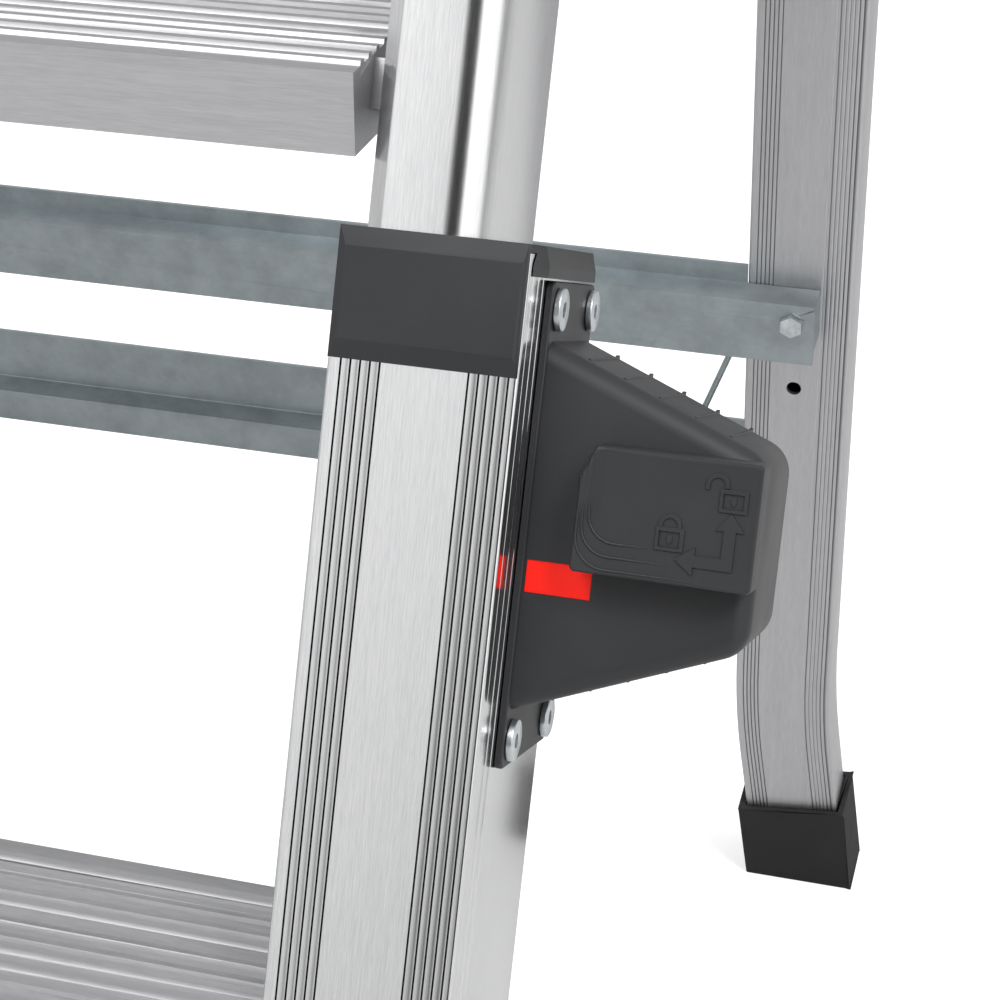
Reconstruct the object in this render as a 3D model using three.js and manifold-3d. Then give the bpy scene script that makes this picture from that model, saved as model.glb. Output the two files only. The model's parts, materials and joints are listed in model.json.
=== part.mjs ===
// Free-standing platform step ladder with levelling front legs.
// Millimetres, +Z up, +X across the treads, +Y from the climbing side to the rear.
// The origin lies on the floor, under the middle of the ladder's box.
// Each outer leg slides along an inner front stile; a foot pedal in an L-shaped path locks it.

import * as THREE from 'three';
import { mergeVertices } from 'three/addons/utils/BufferGeometryUtils.js';
import Module from 'manifold-3d';

const wasm = await Module();
wasm.setup();

// ---------- driving dimensions ----------

const gap = 0.3; // between pieces that touch
const frontLean = THREE.MathUtils.degToRad(23); // front frame, from upright
const rearLean = THREE.MathUtils.degToRad(8.5); // rear frame, from upright
const halfWidth = 250; // middle of the ladder to the outer face of an outer leg

const stepPitch = 280; // height from one tread to the next
const firstStep = 290; // height of the first tread's top
const treadCount = 3; // below the platform
const treadDepth = 80;
const treadHeight = 28;
const treadWall = 2.5;
const treadSkin = 5.5; // top sheet with its ribs
const treadEnd = 3;
const treadRibs = 9;
const treadEdge = 5; // plain strip in front of the ribs and behind them
const treadRib = [1.4, 2, 1.5]; // half width at the top and at the foot, height
const spigotDepths = [24, 58]; // inside the stile's depth
const spigotBelow = 10; // its top, below the tread's
const spigotLap = 2;

const legWidth = 60; // outer leg, C-shaped, open towards the treads
const legDepth = 86;
const legWall = 2.5;
const legLip = 14;
const legCorner = 1;
const grooveMargins = [4.3, 3.1]; // inner and outer edge to the first groove of the front face
const groovePitch = 3.09;
const grooveCount = 5; // near each edge
const grooveWidth = 0.8;
const grooveDepth = 0.5;
const sideGrooves = [5.5, 12.5, 19]; // on the outer side, from the front corner

const stileWidth = 38.5; // inner front stile
const stileFront = 6.9; // leg's front face to the stile's front face
const stileBack = 72;
const stileInset = 4.5; // leg's inner edge to the stile
const stileWall = 2.2;
const stileBevel = 6;
const stileRound = 13.4;
const stileCorner = 1.5; // rear corners
const stileBottom = 70; // along the leg, from the floor
const stileAboveStep = 32; // past the platform's top
const plugLength = 25; // guide's plug, inside the stile

const footWall = 4;
const footFloor = 44; // along the leg, inside the boot
const footTop = 66;

const collarHeight = 40;
const collarBand = 9.5;
const collarPlate = 2.5;
const collarProud = 3; // band, past the leg's outer face
const collarFront = 4;
const collarInset = 0.8; // leg's inner edge to the panel
const collarSlope = [6, 1.6]; // sloped top and bottom of the panel: height and depth
const collarSide = 2.7; // sloped inner edge
const collarCorner = [1.5, 12]; // slanted front corner: inset at the front, depth where it ends
const collarBack = 2.8; // band, past the leg's rear
const collarRear = 8.8; // its cut rear corner
const collarPlay = 0.8; // round the inner stile

const lockHeight = 487; // along the leg, to the lock's middle
const collarAboveLock = 86.6; // to the collar's top
const flangeHeight = 152.8;
const flangeFront = 23;
const flangeBack = 84;
const flangeThick = 2.3;
const flangeCorner = 3;
const housingFront = 24;
const housingBack = 79;
const housingEnd = 74.2; // sideways from the leg's outer face
const housingHalf = 59; // half height at the leg
const housingSlope = 0.395;
const housingRound = 11;
const housingWall = 3;

const rivetRise = 67.8; // above and below the lock's middle
const rivetDepths = [31, 78];
const rivetHead = 6.75;
const rivetRim = [1.1, 1.9, 2]; // heights of the rim, the rounding and the bore's edge
const rivetShank = 2.9;
const rivetBore = 2.35;
const rivetTail = [4, 4.2, 3.2]; // radii and length behind the leg's wall

const pedalLeft = 19.5;
const pedalRight = 75;
const pedalLow = -9.6;
const pedalHigh = 29.3;
const pedalFront = 8.6;
const pedalWall = 2.5;
const pedalChamfer = [4.3, 10];
const pedalShift = 16.4; // sideways, towards the leg
const pedalDrop = 10.4; // down along the leg
const stemLeft = 41;
const stemRight = 50;
const stemLow = 8;
const stemHigh = 18;
const slideGap = 0.4; // between pieces that slide
const pathGap = 0.5; // pedal's stem to the edge of its path
const carrierThick = 4;
const carrierLeft = 18;
const carrierLap = [6, 7]; // past the stem, sideways and up
const keeperThick = 3.2;
const keeperLap = 5;
const fieldDepth = 0.7; // red and green fields, let into the housing
const redField = [3.3, 24.2, -19.8, -9.5];
const greenField = [60, 72, -6, 24];

const pinAcross = 12; // lever pin, sideways from the leg's outer face
const pinRadius = 3.7;
const camRadius = 9;
const camOffset = 2.4;
const leverLength = 42;
const leverThick = 9;
const leverSide = 3; // arm narrower than the cam
const leverAngle = THREE.MathUtils.degToRad(-25);
const leverFront = 40;
const leverBack = 62;
const shoeReach = 1.6; // free gap between shoe and stile
const shoeHalf = 18;
const shoeFront = 38;
const shoeBack = 64;

const hingeBelowTop = 107.5; // rear hinge, below the front stile's top
const hingeDepth = 60;
const hingeRadius = 6;
const hingeHead = [1.7, 3.5]; // radius over the pin's, thickness
const bracketBelow = 50; // bracket's lower point, below the hinge
const bracketRise = 20; // slope of its lower edge
const bracketCap = 6; // above the stile's top
const bracketLap = 1.5; // cap past the stile
const bracketFront = 12;
const tabTall = [45, 12]; // at the root and at the tip
const tabOutboard = 5;
const tabDepth = 33;
const tabInboard = 20; // tab's reach past the stile's inner face

const rearGap = 7; // outer leg's side to the rear stile
const rearWidth = 48.5;
const rearDepth = 28;
const rearWall = 2.2;
const rearTop = 25; // above the hinge
const rearFlareStart = 906; // below the hinge
const rearFlareRadius = 480;
const rearFlareAngle = THREE.MathUtils.degToRad(7);
const rearHole = 731; // below the hinge
const rearHoleRadius = 3.5;
const rearBolt = 686;
const boltShank = 2.9;
const boltHead = [5.5, 3]; // radius and thickness
const boltSpacer = 6;
const boltInside = 6; // shank past the stile's wall
const boltInset = 1; // towards the ladder's middle
const rearFootWall = 4;
const rearFootTop = 45;

const braceSheet = 1.8;
const braceLedge = 16;
const braceTall = 31;
const braceShort = [9, 17];
const upperBrace = 676; // ledge, below the hinge
const lowerBrace = 813;
const braceOverlap = 33.5; // past the rear stile's inner edge
const railSize = 25;
const railWall = 2;
const railInset = 4; // its end, inside the stile's outer face
const railBelow = 240;
const stayRadius = 1.5;

const platformDepth = 250;
const platformThick = 30;
const platformWall = 4;
const platformSkin = 5;
const platformRibs = 18;
const platformEdge = 10;
const platformRib = [2.4, 3.2, 1.5]; // half width at the top and at the foot, height
const platformGap = 2; // to the front stiles
const platformPivot = [45, 15]; // depth in the frame, and below the top
const platformPin = 4;
const platformPinHead = [1.7, 4]; // radius over the pin's, thickness

const bowPlay = 2.05; // between the bow and the stile's inside
const bowWall = 1.6;
const bowRise = 490; // above the stile's top
const bowBend = 80;
const bowDepth = 60; // inside the stile

// ---------- places worked out from them ----------

const sin = Math.sin(frontLean);
const cos = Math.cos(frontLean);
const platformTop = firstStep + stepPitch * treadCount;
const along = (height, depth) => (height + depth * sin) / cos; // height above the floor to place on the leg
const stileLeft = -legWidth + stileInset;
const stileRight = stileLeft + stileWidth;
const stileTop = along(platformTop, stileFront) + stileAboveStep;
const stileMiddle = [(stileLeft + stileRight) / 2, (stileFront + stileBack) / 2];
const bowRadius = stileWidth / 2 - stileWall - bowPlay;
const collarTop = lockHeight + collarAboveLock;
const tubeTop = collarTop - collarPlate - gap;
const hingeAlong = stileTop - hingeBelowTop;
const hingeHeight = hingeAlong * cos - hingeDepth * sin;
const hingeY = hingeAlong * sin + hingeDepth * cos;

// ---------- materials ----------

const paint = (color, metalness, roughness) => new THREE.MeshStandardMaterial({ color, metalness, roughness });
const aluminium = paint(0xc8cacc, 1, 0.32);
const galvanised = paint(0x9ea5a8, 1, 0.5);
const zinc = paint(0xc5cacc, 1, 0.35);
const blackPlastic = paint(0x414244, 0, 0.5);
const rubber = paint(0x2a2a2b, 0, 0.85);
const redPlastic = paint(0xff2010, 0, 0.5);
const greenPlastic = paint(0x1f9a55, 0, 0.5);

// ---------- shape helpers ----------

function solid(geometry) {
    geometry.deleteAttribute('normal');
    geometry.deleteAttribute('uv');
    const merged = mergeVertices(geometry, 1e-4);
    return new wasm.Manifold(new wasm.Mesh({
        numProp: 3,
        vertProperties: new Float32Array(merged.attributes.position.array),
        triVerts: new Uint32Array(merged.index.array),
    }));
}

function geometryOf(body) {
    const mesh = body.getMesh();
    const geometry = new THREE.BufferGeometry();
    geometry.setAttribute('position', new THREE.BufferAttribute(new Float32Array(mesh.vertProperties), 3));
    geometry.setIndex(new THREE.BufferAttribute(new Uint32Array(mesh.triVerts), 1));
    return geometry;
}

const join = (...bodies) => bodies.reduce((whole, body) => whole.add(body));
const cut = (body, ...tools) => tools.reduce((rest, tool) => rest.subtract(tool), body);

// an outline in X and Y, carried along Z
function alongZ(shape, low, high) {
    const geometry = new THREE.ExtrudeGeometry(shape, { depth: high - low, bevelEnabled: false, curveSegments: 6 });
    return solid(geometry.translate(0, 0, low));
}

// an outline in X and Z, carried along Y
function alongY(shape, front, back) {
    const geometry = new THREE.ExtrudeGeometry(shape, { depth: back - front, bevelEnabled: false, curveSegments: 6 });
    return solid(geometry.rotateX(Math.PI / 2).translate(0, back, 0));
}

// an outline in Y and Z, carried along X
function alongX(shape, left, right) {
    const turn = new THREE.Matrix4().makeBasis(
        new THREE.Vector3(0, 1, 0), new THREE.Vector3(0, 0, 1), new THREE.Vector3(1, 0, 0));
    const geometry = new THREE.ExtrudeGeometry(shape, { depth: right - left, bevelEnabled: false, curveSegments: 6 });
    return solid(geometry.applyMatrix4(turn).translate(left, 0, 0));
}

function block(x0, x1, y0, y1, z0, z1) {
    const geometry = new THREE.BoxGeometry(x1 - x0, y1 - y0, z1 - z0);
    return solid(geometry.translate((x0 + x1) / 2, (y0 + y1) / 2, (z0 + z1) / 2));
}

// a round bar along 'x' or 'y' from one value to another, at the other two places
function bar(axis, radius, from, to, p, q, sides = 20) {
    const geometry = new THREE.CylinderGeometry(radius, radius, to - from, sides);
    const middle = (from + to) / 2;
    if (axis === 'x') return solid(geometry.rotateZ(Math.PI / 2).translate(middle, p, q));
    return solid(geometry.translate(p, middle, q));
}

function polygon(points) {
    return new THREE.Shape(points.map(([a, b]) => new THREE.Vector2(a, b)));
}

// a convex outline whose corners are rounded by the given radii, listed anticlockwise
function rounded(points, radii, steps = 4) {
    const out = [];
    points.forEach((point, i) => {
        const here = new THREE.Vector2(...point);
        const before = new THREE.Vector2(...points[(i + points.length - 1) % points.length]);
        const after = new THREE.Vector2(...points[(i + 1) % points.length]);
        const radius = Array.isArray(radii) ? radii[i] : radii;
        if (radius === 0) {
            out.push(here);
            return;
        }
        const back = before.sub(here).normalize();
        const on = after.sub(here).normalize();
        const half = Math.acos(back.dot(on)) / 2;
        const centre = here.clone().add(back.clone().add(on).normalize().multiplyScalar(radius / Math.sin(half)));
        const start = here.clone().add(back.multiplyScalar(radius / Math.tan(half))).sub(centre);
        const turn = Math.PI - 2 * half;
        for (let k = 0; k <= steps; k++) {
            out.push(start.clone().rotateAround(new THREE.Vector2(), turn * k / steps).add(centre));
        }
    });
    return new THREE.Shape(out);
}

const rectangle = (x0, x1, y0, y1) => [[x0, y0], [x1, y0], [x1, y1], [x0, y1]];

// a section carried along stations in the X-Z plane; each station turns it about Y
function sweep(section, stations) {
    const points = [];
    const faces = [];
    const count = section.length;
    stations.forEach(({ x, z, angle }) => {
        section.forEach(([across, y]) => {
            points.push(x + across * Math.cos(angle), y, z + across * Math.sin(angle));
        });
    });
    for (let s = 0; s + 1 < stations.length; s++) {
        for (let i = 0; i < count; i++) {
            const a = s * count + i;
            const b = s * count + (i + 1) % count;
            faces.push(a, b, b + count, a, b + count, a + count);
        }
    }
    const cap = THREE.ShapeUtils.triangulateShape(section.map(([a, b]) => new THREE.Vector2(a, b)), []);
    const last = (stations.length - 1) * count;
    cap.forEach(([a, b, c]) => faces.push(a, c, b, last + a, last + b, last + c));
    const geometry = new THREE.BufferGeometry();
    geometry.setAttribute('position', new THREE.Float32BufferAttribute(points, 3));
    geometry.setIndex(faces);
    return solid(geometry);
}

// ---------- scene graph ----------

const ladder = new THREE.Group();
const frontFrame = new THREE.Group(); // Z runs up the front stiles, Y is their depth
frontFrame.rotation.x = -frontLean;
const rearFrame = new THREE.Group(); // origin on the hinge, Z runs up the rear stiles
rearFrame.rotation.x = rearLean;
rearFrame.position.set(0, hingeY, hingeHeight);
ladder.add(frontFrame, rearFrame);

function add(group, name, geometry, material) {
    const mesh = new THREE.Mesh(geometry, material);
    mesh.name = name;
    group.add(mesh);
}

function mirrored(geometry) {
    const copy = geometry.clone();
    const place = copy.attributes.position;
    for (let i = 0; i < place.count; i++) place.setX(i, -place.getX(i));
    const index = copy.index;
    for (let i = 0; i < index.count; i += 3) {
        const second = index.getX(i + 1);
        index.setX(i + 1, index.getX(i + 2));
        index.setX(i + 2, second);
    }
    return copy;
}

// one piece on the right, and its mirror image on the left; X is counted from the leg's outer face
function pair(group, name, body, material) {
    const right = geometryOf(body).translate(halfWidth, 0, 0);
    add(group, `${name}_right`, right, material);
    add(group, `${name}_left`, mirrored(right), material);
}

// ---------- front frame ----------

function stileOutline(inset) {
    const left = stileLeft + inset;
    const right = stileRight - inset;
    const front = stileFront + inset;
    const back = stileBack - inset;
    const bevel = stileBevel - inset * 0.6;
    return rounded(
        [[left + bevel, front], [right, front], [right, back], [left, back], [left, front + bevel]],
        [0, stileRound - inset, stileCorner, stileCorner, 0]);
}

function frontStile() {
    const [x, y] = stileMiddle;
    const tube = cut(
        alongZ(stileOutline(0), stileBottom, stileTop),
        alongZ(stileOutline(stileWall), stileBottom - 1, stileTop + 1));
    const pivot = along(platformTop - platformPivot[1], platformPivot[0]);
    return cut(tube, bar('x', platformPin + gap, stileLeft - 1, x - bowRadius / 2, platformPivot[0], pivot));
}

function stileGuide() {
    const plugInset = stileWall + gap;
    return join(
        block(-legWidth + legWall + gap, -legWall - gap, legWall + gap, legDepth - legWall - gap,
            footFloor + gap, stileBottom - gap),
        alongZ(stileOutline(plugInset), stileBottom - 1, stileBottom + plugLength));
}

// ribs over the top of a section, listed from the back to the front
function ribs(front, depth, edge, count, [topHalf, footHalf, rise], top) {
    const pitch = (depth - 2 * edge) / count;
    const middles = Array.from({ length: count }, (_, i) => front + edge + pitch * (count - i - 0.5));
    return middles.flatMap((y) => [
        [y + footHalf, top - rise], [y + topHalf, top], [y - topHalf, top], [y - footHalf, top - rise]]);
}

// tread: a ribbed channel, closed at both ends, with a spigot to each stile
function tread(top) {
    const half = halfWidth - legWidth - platformGap;
    const middleDepth = (stileFront + stileBack) / 2;
    const place = along(top, middleDepth);
    const centreY = place * sin + middleDepth * cos;
    const front = centreY - treadDepth / 2;
    const back = centreY + treadDepth / 2;
    const flat = top - treadRib[2];
    const section = [[front, top - treadHeight], [front + treadWall, top - treadHeight],
        [front + treadWall, top - treadSkin], [back - treadWall, top - treadSkin],
        [back - treadWall, top - treadHeight], [back, top - treadHeight], [back, flat],
        ...ribs(front, treadDepth, treadEdge, treadRibs, treadRib, top), [front, flat]];
    const channel = alongX(polygon(section), -half, half);
    const wall = polygon(rectangle(front + 1, back - 1, top - treadHeight, flat - 1));
    const ends = [alongX(wall, -half, -half + treadEnd), alongX(wall, half - treadEnd, half)];
    return { body: join(channel, ...ends), half, place };
}

// the spigot leans with the stile, so it is made in the front frame and turned upright
function spigots(half, place) {
    const reach = halfWidth + stileLeft - gap;
    const low = place - treadHeight * cos;
    const high = place - spigotBelow;
    const [front, back] = spigotDepths;
    const turn = new THREE.Matrix4().makeRotationX(-frontLean);
    return [-1, 1].map((side) => {
        const [x0, x1] = side > 0 ? [half - spigotLap, reach] : [-reach, -half + spigotLap];
        const geometry = new THREE.BoxGeometry(x1 - x0, back - front, high - low);
        return solid(geometry.translate((x0 + x1) / 2, (front + back) / 2, (low + high) / 2).applyMatrix4(turn));
    });
}

function headBracket() {
    const level = (y) => along(platformTop - platformThick - gap, y);
    const rear = stileBack + gap + tabDepth;
    const low = hingeAlong - bracketBelow;
    const high = stileTop + bracketCap;
    const [root, tip] = tabTall;
    const outboard = alongX(polygon([
        [bracketFront, low + bracketRise], [hingeDepth, low], [stileBack, low],
        [rear, level(rear) - tip], [rear, level(rear)], [stileBack + gap, level(stileBack + gap)],
        [stileBack + gap, high], [bracketFront, high]]), stileRight + gap, rearGap - 2 * gap);
    const tab = alongX(polygon([
        [stileBack + gap, level(stileBack) - root], [rear, level(rear) - tip],
        [rear, level(rear)], [stileBack + gap, level(stileBack + gap)]]),
        stileLeft - tabInboard, stileRight + tabOutboard);
    const cap = block(stileLeft - bracketLap, stileRight + tabOutboard,
        stileFront - bracketLap, stileBack + bracketLap, stileTop + gap, high);
    const bore = solid(new THREE.CylinderGeometry(bowRadius + gap, bowRadius + gap, 40, 32)
        .rotateX(Math.PI / 2).translate(stileMiddle[0], stileMiddle[1], stileTop));
    const hinge = bar('x', hingeRadius + gap, stileRight - 1, rearGap + 1, hingeDepth, hingeAlong);
    return cut(join(outboard, tab, cap), bore, hinge);
}

function hingePin() {
    const start = stileRight + 2 * gap;
    const end = rearGap + rearWidth + gap;
    return join(
        bar('x', hingeRadius, start, end + 1, hingeDepth, hingeAlong),
        bar('x', hingeRadius * hingeHead[0], end, end + hingeHead[1], hingeDepth, hingeAlong));
}

function safetyBow() {
    const x = halfWidth + stileMiddle[0];
    const low = stileTop - bowDepth;
    const top = stileTop + bowRise;
    const bendSteps = 8;
    const stations = [{ x: -x, z: low, angle: 0 }];
    for (let k = 0; k <= bendSteps; k++) {
        const turn = Math.PI / 2 * k / bendSteps;
        stations.push({
            x: -x + bowBend * (1 - Math.cos(turn)), z: top - bowBend + bowBend * Math.sin(turn),
            angle: -turn });
    }
    for (let k = 0; k <= bendSteps; k++) {
        const turn = Math.PI / 2 * k / bendSteps;
        stations.push({
            x: x - bowBend + bowBend * Math.sin(turn), z: top - bowBend + bowBend * Math.cos(turn),
            angle: -Math.PI / 2 - turn });
    }
    stations.push({ x, z: low, angle: -Math.PI });
    const ring = (radius, sides) => Array.from({ length: sides }, (_, i) => {
        const turn = 2 * Math.PI * i / sides;
        return [radius * Math.cos(turn), stileMiddle[1] + radius * Math.sin(turn)];
    });
    const longer = stations.map((s) => ({ ...s, z: s.z === low ? low - 1 : s.z }));
    return cut(sweep(ring(bowRadius, 20), stations), sweep(ring(bowRadius - bowWall, 20), longer));
}

pair(frontFrame, 'front_stile', frontStile(), aluminium);
pair(frontFrame, 'stile_guide', stileGuide(), blackPlastic);
pair(frontFrame, 'head_bracket', headBracket(), blackPlastic);
pair(frontFrame, 'hinge_pin', hingePin(), zinc);
add(frontFrame, 'safety_bow', geometryOf(safetyBow()), aluminium);
for (let i = 0; i < treadCount; i++) {
    const { body, half, place } = tread(firstStep + stepPitch * i);
    add(ladder, `tread_${i + 1}`, geometryOf(join(body, ...spigots(half, place))), aluminium);
}

// ---------- platform ----------

function platform() {
    const half = halfWidth + stileLeft - platformGap;
    const pivotAlong = along(platformTop - platformPivot[1], platformPivot[0]);
    const pivotY = pivotAlong * sin + platformPivot[0] * cos;
    const front = pivotY - platformPivot[0];
    const back = front + platformDepth;
    const low = platformTop - platformThick;
    const flat = platformTop - platformRib[2];
    const section = [[front, low], [back, low], [back, flat],
        ...ribs(front, platformDepth, platformEdge, platformRibs, platformRib, platformTop), [front, flat]];
    const hollow = block(-half + platformWall, half - platformWall, front + platformWall, back - platformWall,
        low - 1, platformTop - platformSkin);
    const z = platformTop - platformPivot[1];
    const bores = [-1, 1].map((side) => bar('x', platformPin + gap,
        side * half - platformWall - 1, side * half + platformWall + 1, pivotY, z));
    return cut(alongX(polygon(section), -half, half), hollow, ...bores);
}

function platformPivotPin() {
    const z = along(platformTop - platformPivot[1], platformPivot[0]);
    const wallInside = stileLeft - platformGap - platformWall;
    return join(
        bar('x', platformPin, wallInside - 1, stileLeft + stileWall + 1, platformPivot[0], z),
        bar('x', platformPin * platformPinHead[0], wallInside - gap - platformPinHead[1], wallInside - gap,
            platformPivot[0], z));
}

add(ladder, 'platform', geometryOf(platform()), aluminium);
pair(frontFrame, 'platform_pin', platformPivotPin(), zinc);

// ---------- levelling legs ----------

function legTube() {
    const grooves = [];
    for (let i = 0; i < grooveCount; i++) grooves.push(-legWidth + grooveMargins[0] + groovePitch * i);
    for (let i = grooveCount - 1; i >= 0; i--) grooves.push(-grooveMargins[1] - groovePitch * i);
    const corner = legCorner;
    const points = [[-legWidth, legLip], [-legWidth, corner], [-legWidth + corner, 0]];
    grooves.forEach((x) => {
        points.push([x - grooveWidth / 2, 0], [x - grooveWidth / 2, grooveDepth],
            [x + grooveWidth / 2, grooveDepth], [x + grooveWidth / 2, 0]);
    });
    points.push([-corner, 0], [0, corner]);
    sideGrooves.forEach((y) => {
        points.push([0, y - grooveWidth / 2], [-grooveDepth, y - grooveWidth / 2],
            [-grooveDepth, y + grooveWidth / 2], [0, y + grooveWidth / 2]);
    });
    points.push([0, legDepth - corner], [-corner, legDepth],
        [-legWidth + corner, legDepth], [-legWidth, legDepth - corner],
        [-legWidth, legDepth - legLip], [-legWidth + legWall, legDepth - legLip],
        [-legWidth + legWall, legDepth - legWall], [-legWall, legDepth - legWall],
        [-legWall, legWall], [-legWidth + legWall, legWall], [-legWidth + legWall, legLip]);
    const holes = [];
    for (const rise of [-rivetRise, rivetRise]) {
        for (const depth of rivetDepths) {
            holes.push(bar('x', rivetShank + gap, -legWall - 1, 1, depth, lockHeight + rise, 16));
        }
    }
    const window = block(-legWall - 1, 1, shoeFront - slideGap, shoeBack + slideGap,
        lockHeight - shoeHalf - slideGap, lockHeight + shoeHalf + slideGap);
    return cut(alongZ(polygon(points), footFloor + gap, tubeTop), window, ...holes);
}

function legFoot() {
    const front = -footWall;
    const back = legDepth + footWall;
    const floor = (y) => y * sin / cos;
    const boot = alongX(polygon([[front, floor(front)], [back, floor(back)], [back, footTop], [front, footTop]]),
        -legWidth - footWall, footWall);
    return cut(boot, block(-legWidth - gap, gap, -gap, legDepth + gap, footFloor, footTop + 1));
}

// collar's band seen from above, drawn in by the slope of its top
function bandOutline(inset) {
    const left = -legWidth + inset;
    const right = collarProud - inset;
    const front = -collarFront + inset;
    const back = legDepth + collarBack - inset;
    const [cornerInset, cornerDepth] = collarCorner;
    return polygon([[left, front], [-cornerInset, front], [right, cornerDepth],
        [right, back - collarRear], [right - collarRear, back], [left, back]]);
}

function collar() {
    const low = collarTop - collarHeight;
    const bandLow = collarTop - collarBand;
    const face = -collarFront;
    const left = -legWidth + collarInset;
    const [slopeHeight, slopeDepth] = collarSlope;
    const side = alongX(polygon([[-gap, low], [-gap, collarTop - 1], [face + slopeDepth, collarTop - 1],
        [face, collarTop - slopeHeight], [face, low + slopeHeight], [face + slopeDepth, low]]), left, -gap);
    const plan = alongZ(polygon([[left, -gap], [left, face + slopeDepth], [left + collarSide, face],
        [-collarCorner[0], face], [-gap, -gap]]), low, collarTop);
    const band = alongZ(bandOutline(0), bandLow, collarTop - slopeHeight);
    const top = wasm.Manifold.hull([
        alongZ(bandOutline(0), collarTop - slopeHeight - 0.1, collarTop - slopeHeight),
        alongZ(bandOutline(slopeDepth), collarTop - 0.1, collarTop)]);
    const pocket = block(-legWidth - 1, gap, -gap, legDepth + gap, low - 1, collarTop - collarPlate);
    const passage = block(stileLeft - collarPlay, stileRight + collarPlay,
        stileFront - collarPlay, stileBack + collarPlay, low, collarTop + 1);
    return cut(join(side.intersect(plan), band, top), pocket, passage);
}

// lock housing's outline, seen from the front, drawn in by an even wall
function housingOutline(inset, start) {
    const tilt = Math.hypot(1, housingSlope);
    const half = (x) => housingHalf - housingSlope * x - inset * tilt;
    const end = housingEnd - inset;
    const round = housingRound - inset;
    const z = lockHeight;
    return rounded([[start, z - half(start)], [end, z - half(end)], [end, z + half(end)], [start, z + half(start)]],
        [0, round, round, 0], 6);
}

function lockHousing() {
    const z = lockHeight;
    const flange = alongX(rounded(rectangle(flangeFront, flangeBack, z - flangeHeight / 2, z + flangeHeight / 2),
        flangeCorner), gap, gap + flangeThick);
    const body = alongY(housingOutline(0, gap), housingFront, housingBack);
    const cavity = alongY(housingOutline(housingWall, -1), housingFront + housingWall, housingBack - housingWall);
    const opening = block(stemLeft - pedalShift - pathGap, stemRight + pathGap,
        housingFront - 1, housingFront + housingWall + 1,
        z + stemLow - pedalDrop - pathGap, z + stemHigh + pathGap);
    const pockets = [redField, greenField].map(([x0, x1, z0, z1]) => block(x0 - gap, x1 + gap,
        housingFront - 1, housingFront + fieldDepth + gap, z + z0 - gap, z + z1 + gap));
    const holes = [];
    for (const rise of [-rivetRise, rivetRise]) {
        for (const depth of rivetDepths) holes.push(bar('x', rivetShank + gap, 0, 4, depth, z + rise, 16));
    }
    return cut(join(flange, body), cavity, opening, ...pockets, ...holes);
}

function field([x0, x1, z0, z1]) {
    return block(x0, x1, housingFront, housingFront + fieldDepth, lockHeight + z0, lockHeight + z1);
}

// blind rivet: flat head with the mandrel's hole, shank and set tail
function rivet(depth, rise) {
    const seat = flangeThick + 2 * gap;
    const inside = -legWall - gap;
    const [tailEnd, tailRoot, tailLength] = rivetTail;
    const [rim, shoulder, crown] = rivetRim;
    const profile = [[0, inside - tailLength], [tailEnd, inside - tailLength], [tailRoot, inside],
        [rivetShank, inside], [rivetShank, seat], [rivetHead, seat], [rivetHead, seat + rim],
        [rivetHead - 1, seat + shoulder], [rivetBore, seat + crown], [rivetBore, seat - 1], [0, seat - 1]];
    const geometry = new THREE.LatheGeometry(profile.map(([r, h]) => new THREE.Vector2(r, h)), 20);
    return solid(geometry.rotateZ(-Math.PI / 2).translate(0, depth, lockHeight + rise));
}

function pedal() {
    const z = lockHeight;
    const back = housingFront - slideGap;
    const [cutX, cutZ] = pedalChamfer;
    const outline = (inset) => polygon([
        [pedalLeft + inset, z + pedalLow + inset], [pedalRight - inset, z + pedalLow + inset],
        [pedalRight - inset, z + pedalHigh - inset], [pedalLeft + cutX + inset * 0.7, z + pedalHigh - inset],
        [pedalLeft + inset, z + pedalHigh - cutZ - inset * 0.3]]);
    const shell = cut(alongY(outline(0), pedalFront, back),
        alongY(outline(pedalWall), pedalFront + pedalWall, back + 1));
    const stemEnd = housingFront + housingWall + gap + carrierThick;
    return join(shell, block(stemLeft, stemRight, pedalFront + 1, stemEnd, z + stemLow, z + stemHigh));
}

function pedalKeeper() {
    const front = housingFront + housingWall + carrierThick + 2 * gap;
    return block(stemLeft - keeperLap, stemRight + keeperLap, front, front + keeperThick,
        lockHeight + stemLow - keeperLap, lockHeight + stemHigh + keeperLap);
}

function pedalCarrier() {
    const front = housingFront + housingWall + gap;
    const z = lockHeight;
    const [lapX, lapZ] = carrierLap;
    const plate = block(carrierLeft, stemRight + lapX, front, front + carrierThick,
        z + stemLow - lapZ, z + stemHigh + lapZ);
    const slot = block(stemLeft - pedalShift - slideGap, stemRight + slideGap, front - 1, front + carrierThick + 1,
        z + stemLow - gap, z + stemHigh + gap);
    return cut(plate, slot);
}

function clampLever() {
    const z = lockHeight;
    const cam = bar('y', camRadius, leverFront, leverBack, pinAcross, z + camOffset, 28);
    const turn = new THREE.Matrix4().makeRotationY(-leverAngle).setPosition(pinAcross, 0, z);
    const arm = new THREE.BoxGeometry(leverLength, leverBack - leverFront - 2 * leverSide, leverThick)
        .translate(leverLength / 2, (leverFront + leverBack) / 2, 0).applyMatrix4(turn);
    const bore = bar('y', pinRadius + gap, leverFront - 1, leverBack + 1, pinAcross, z);
    return cut(join(cam, solid(arm)), bore);
}

function clampShoe() {
    const face = stileRight + shoeReach;
    const back = pinAcross - camRadius - slideGap;
    const z = lockHeight;
    return block(face, back, shoeFront, shoeBack, z - shoeHalf, z + shoeHalf);
}

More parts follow.
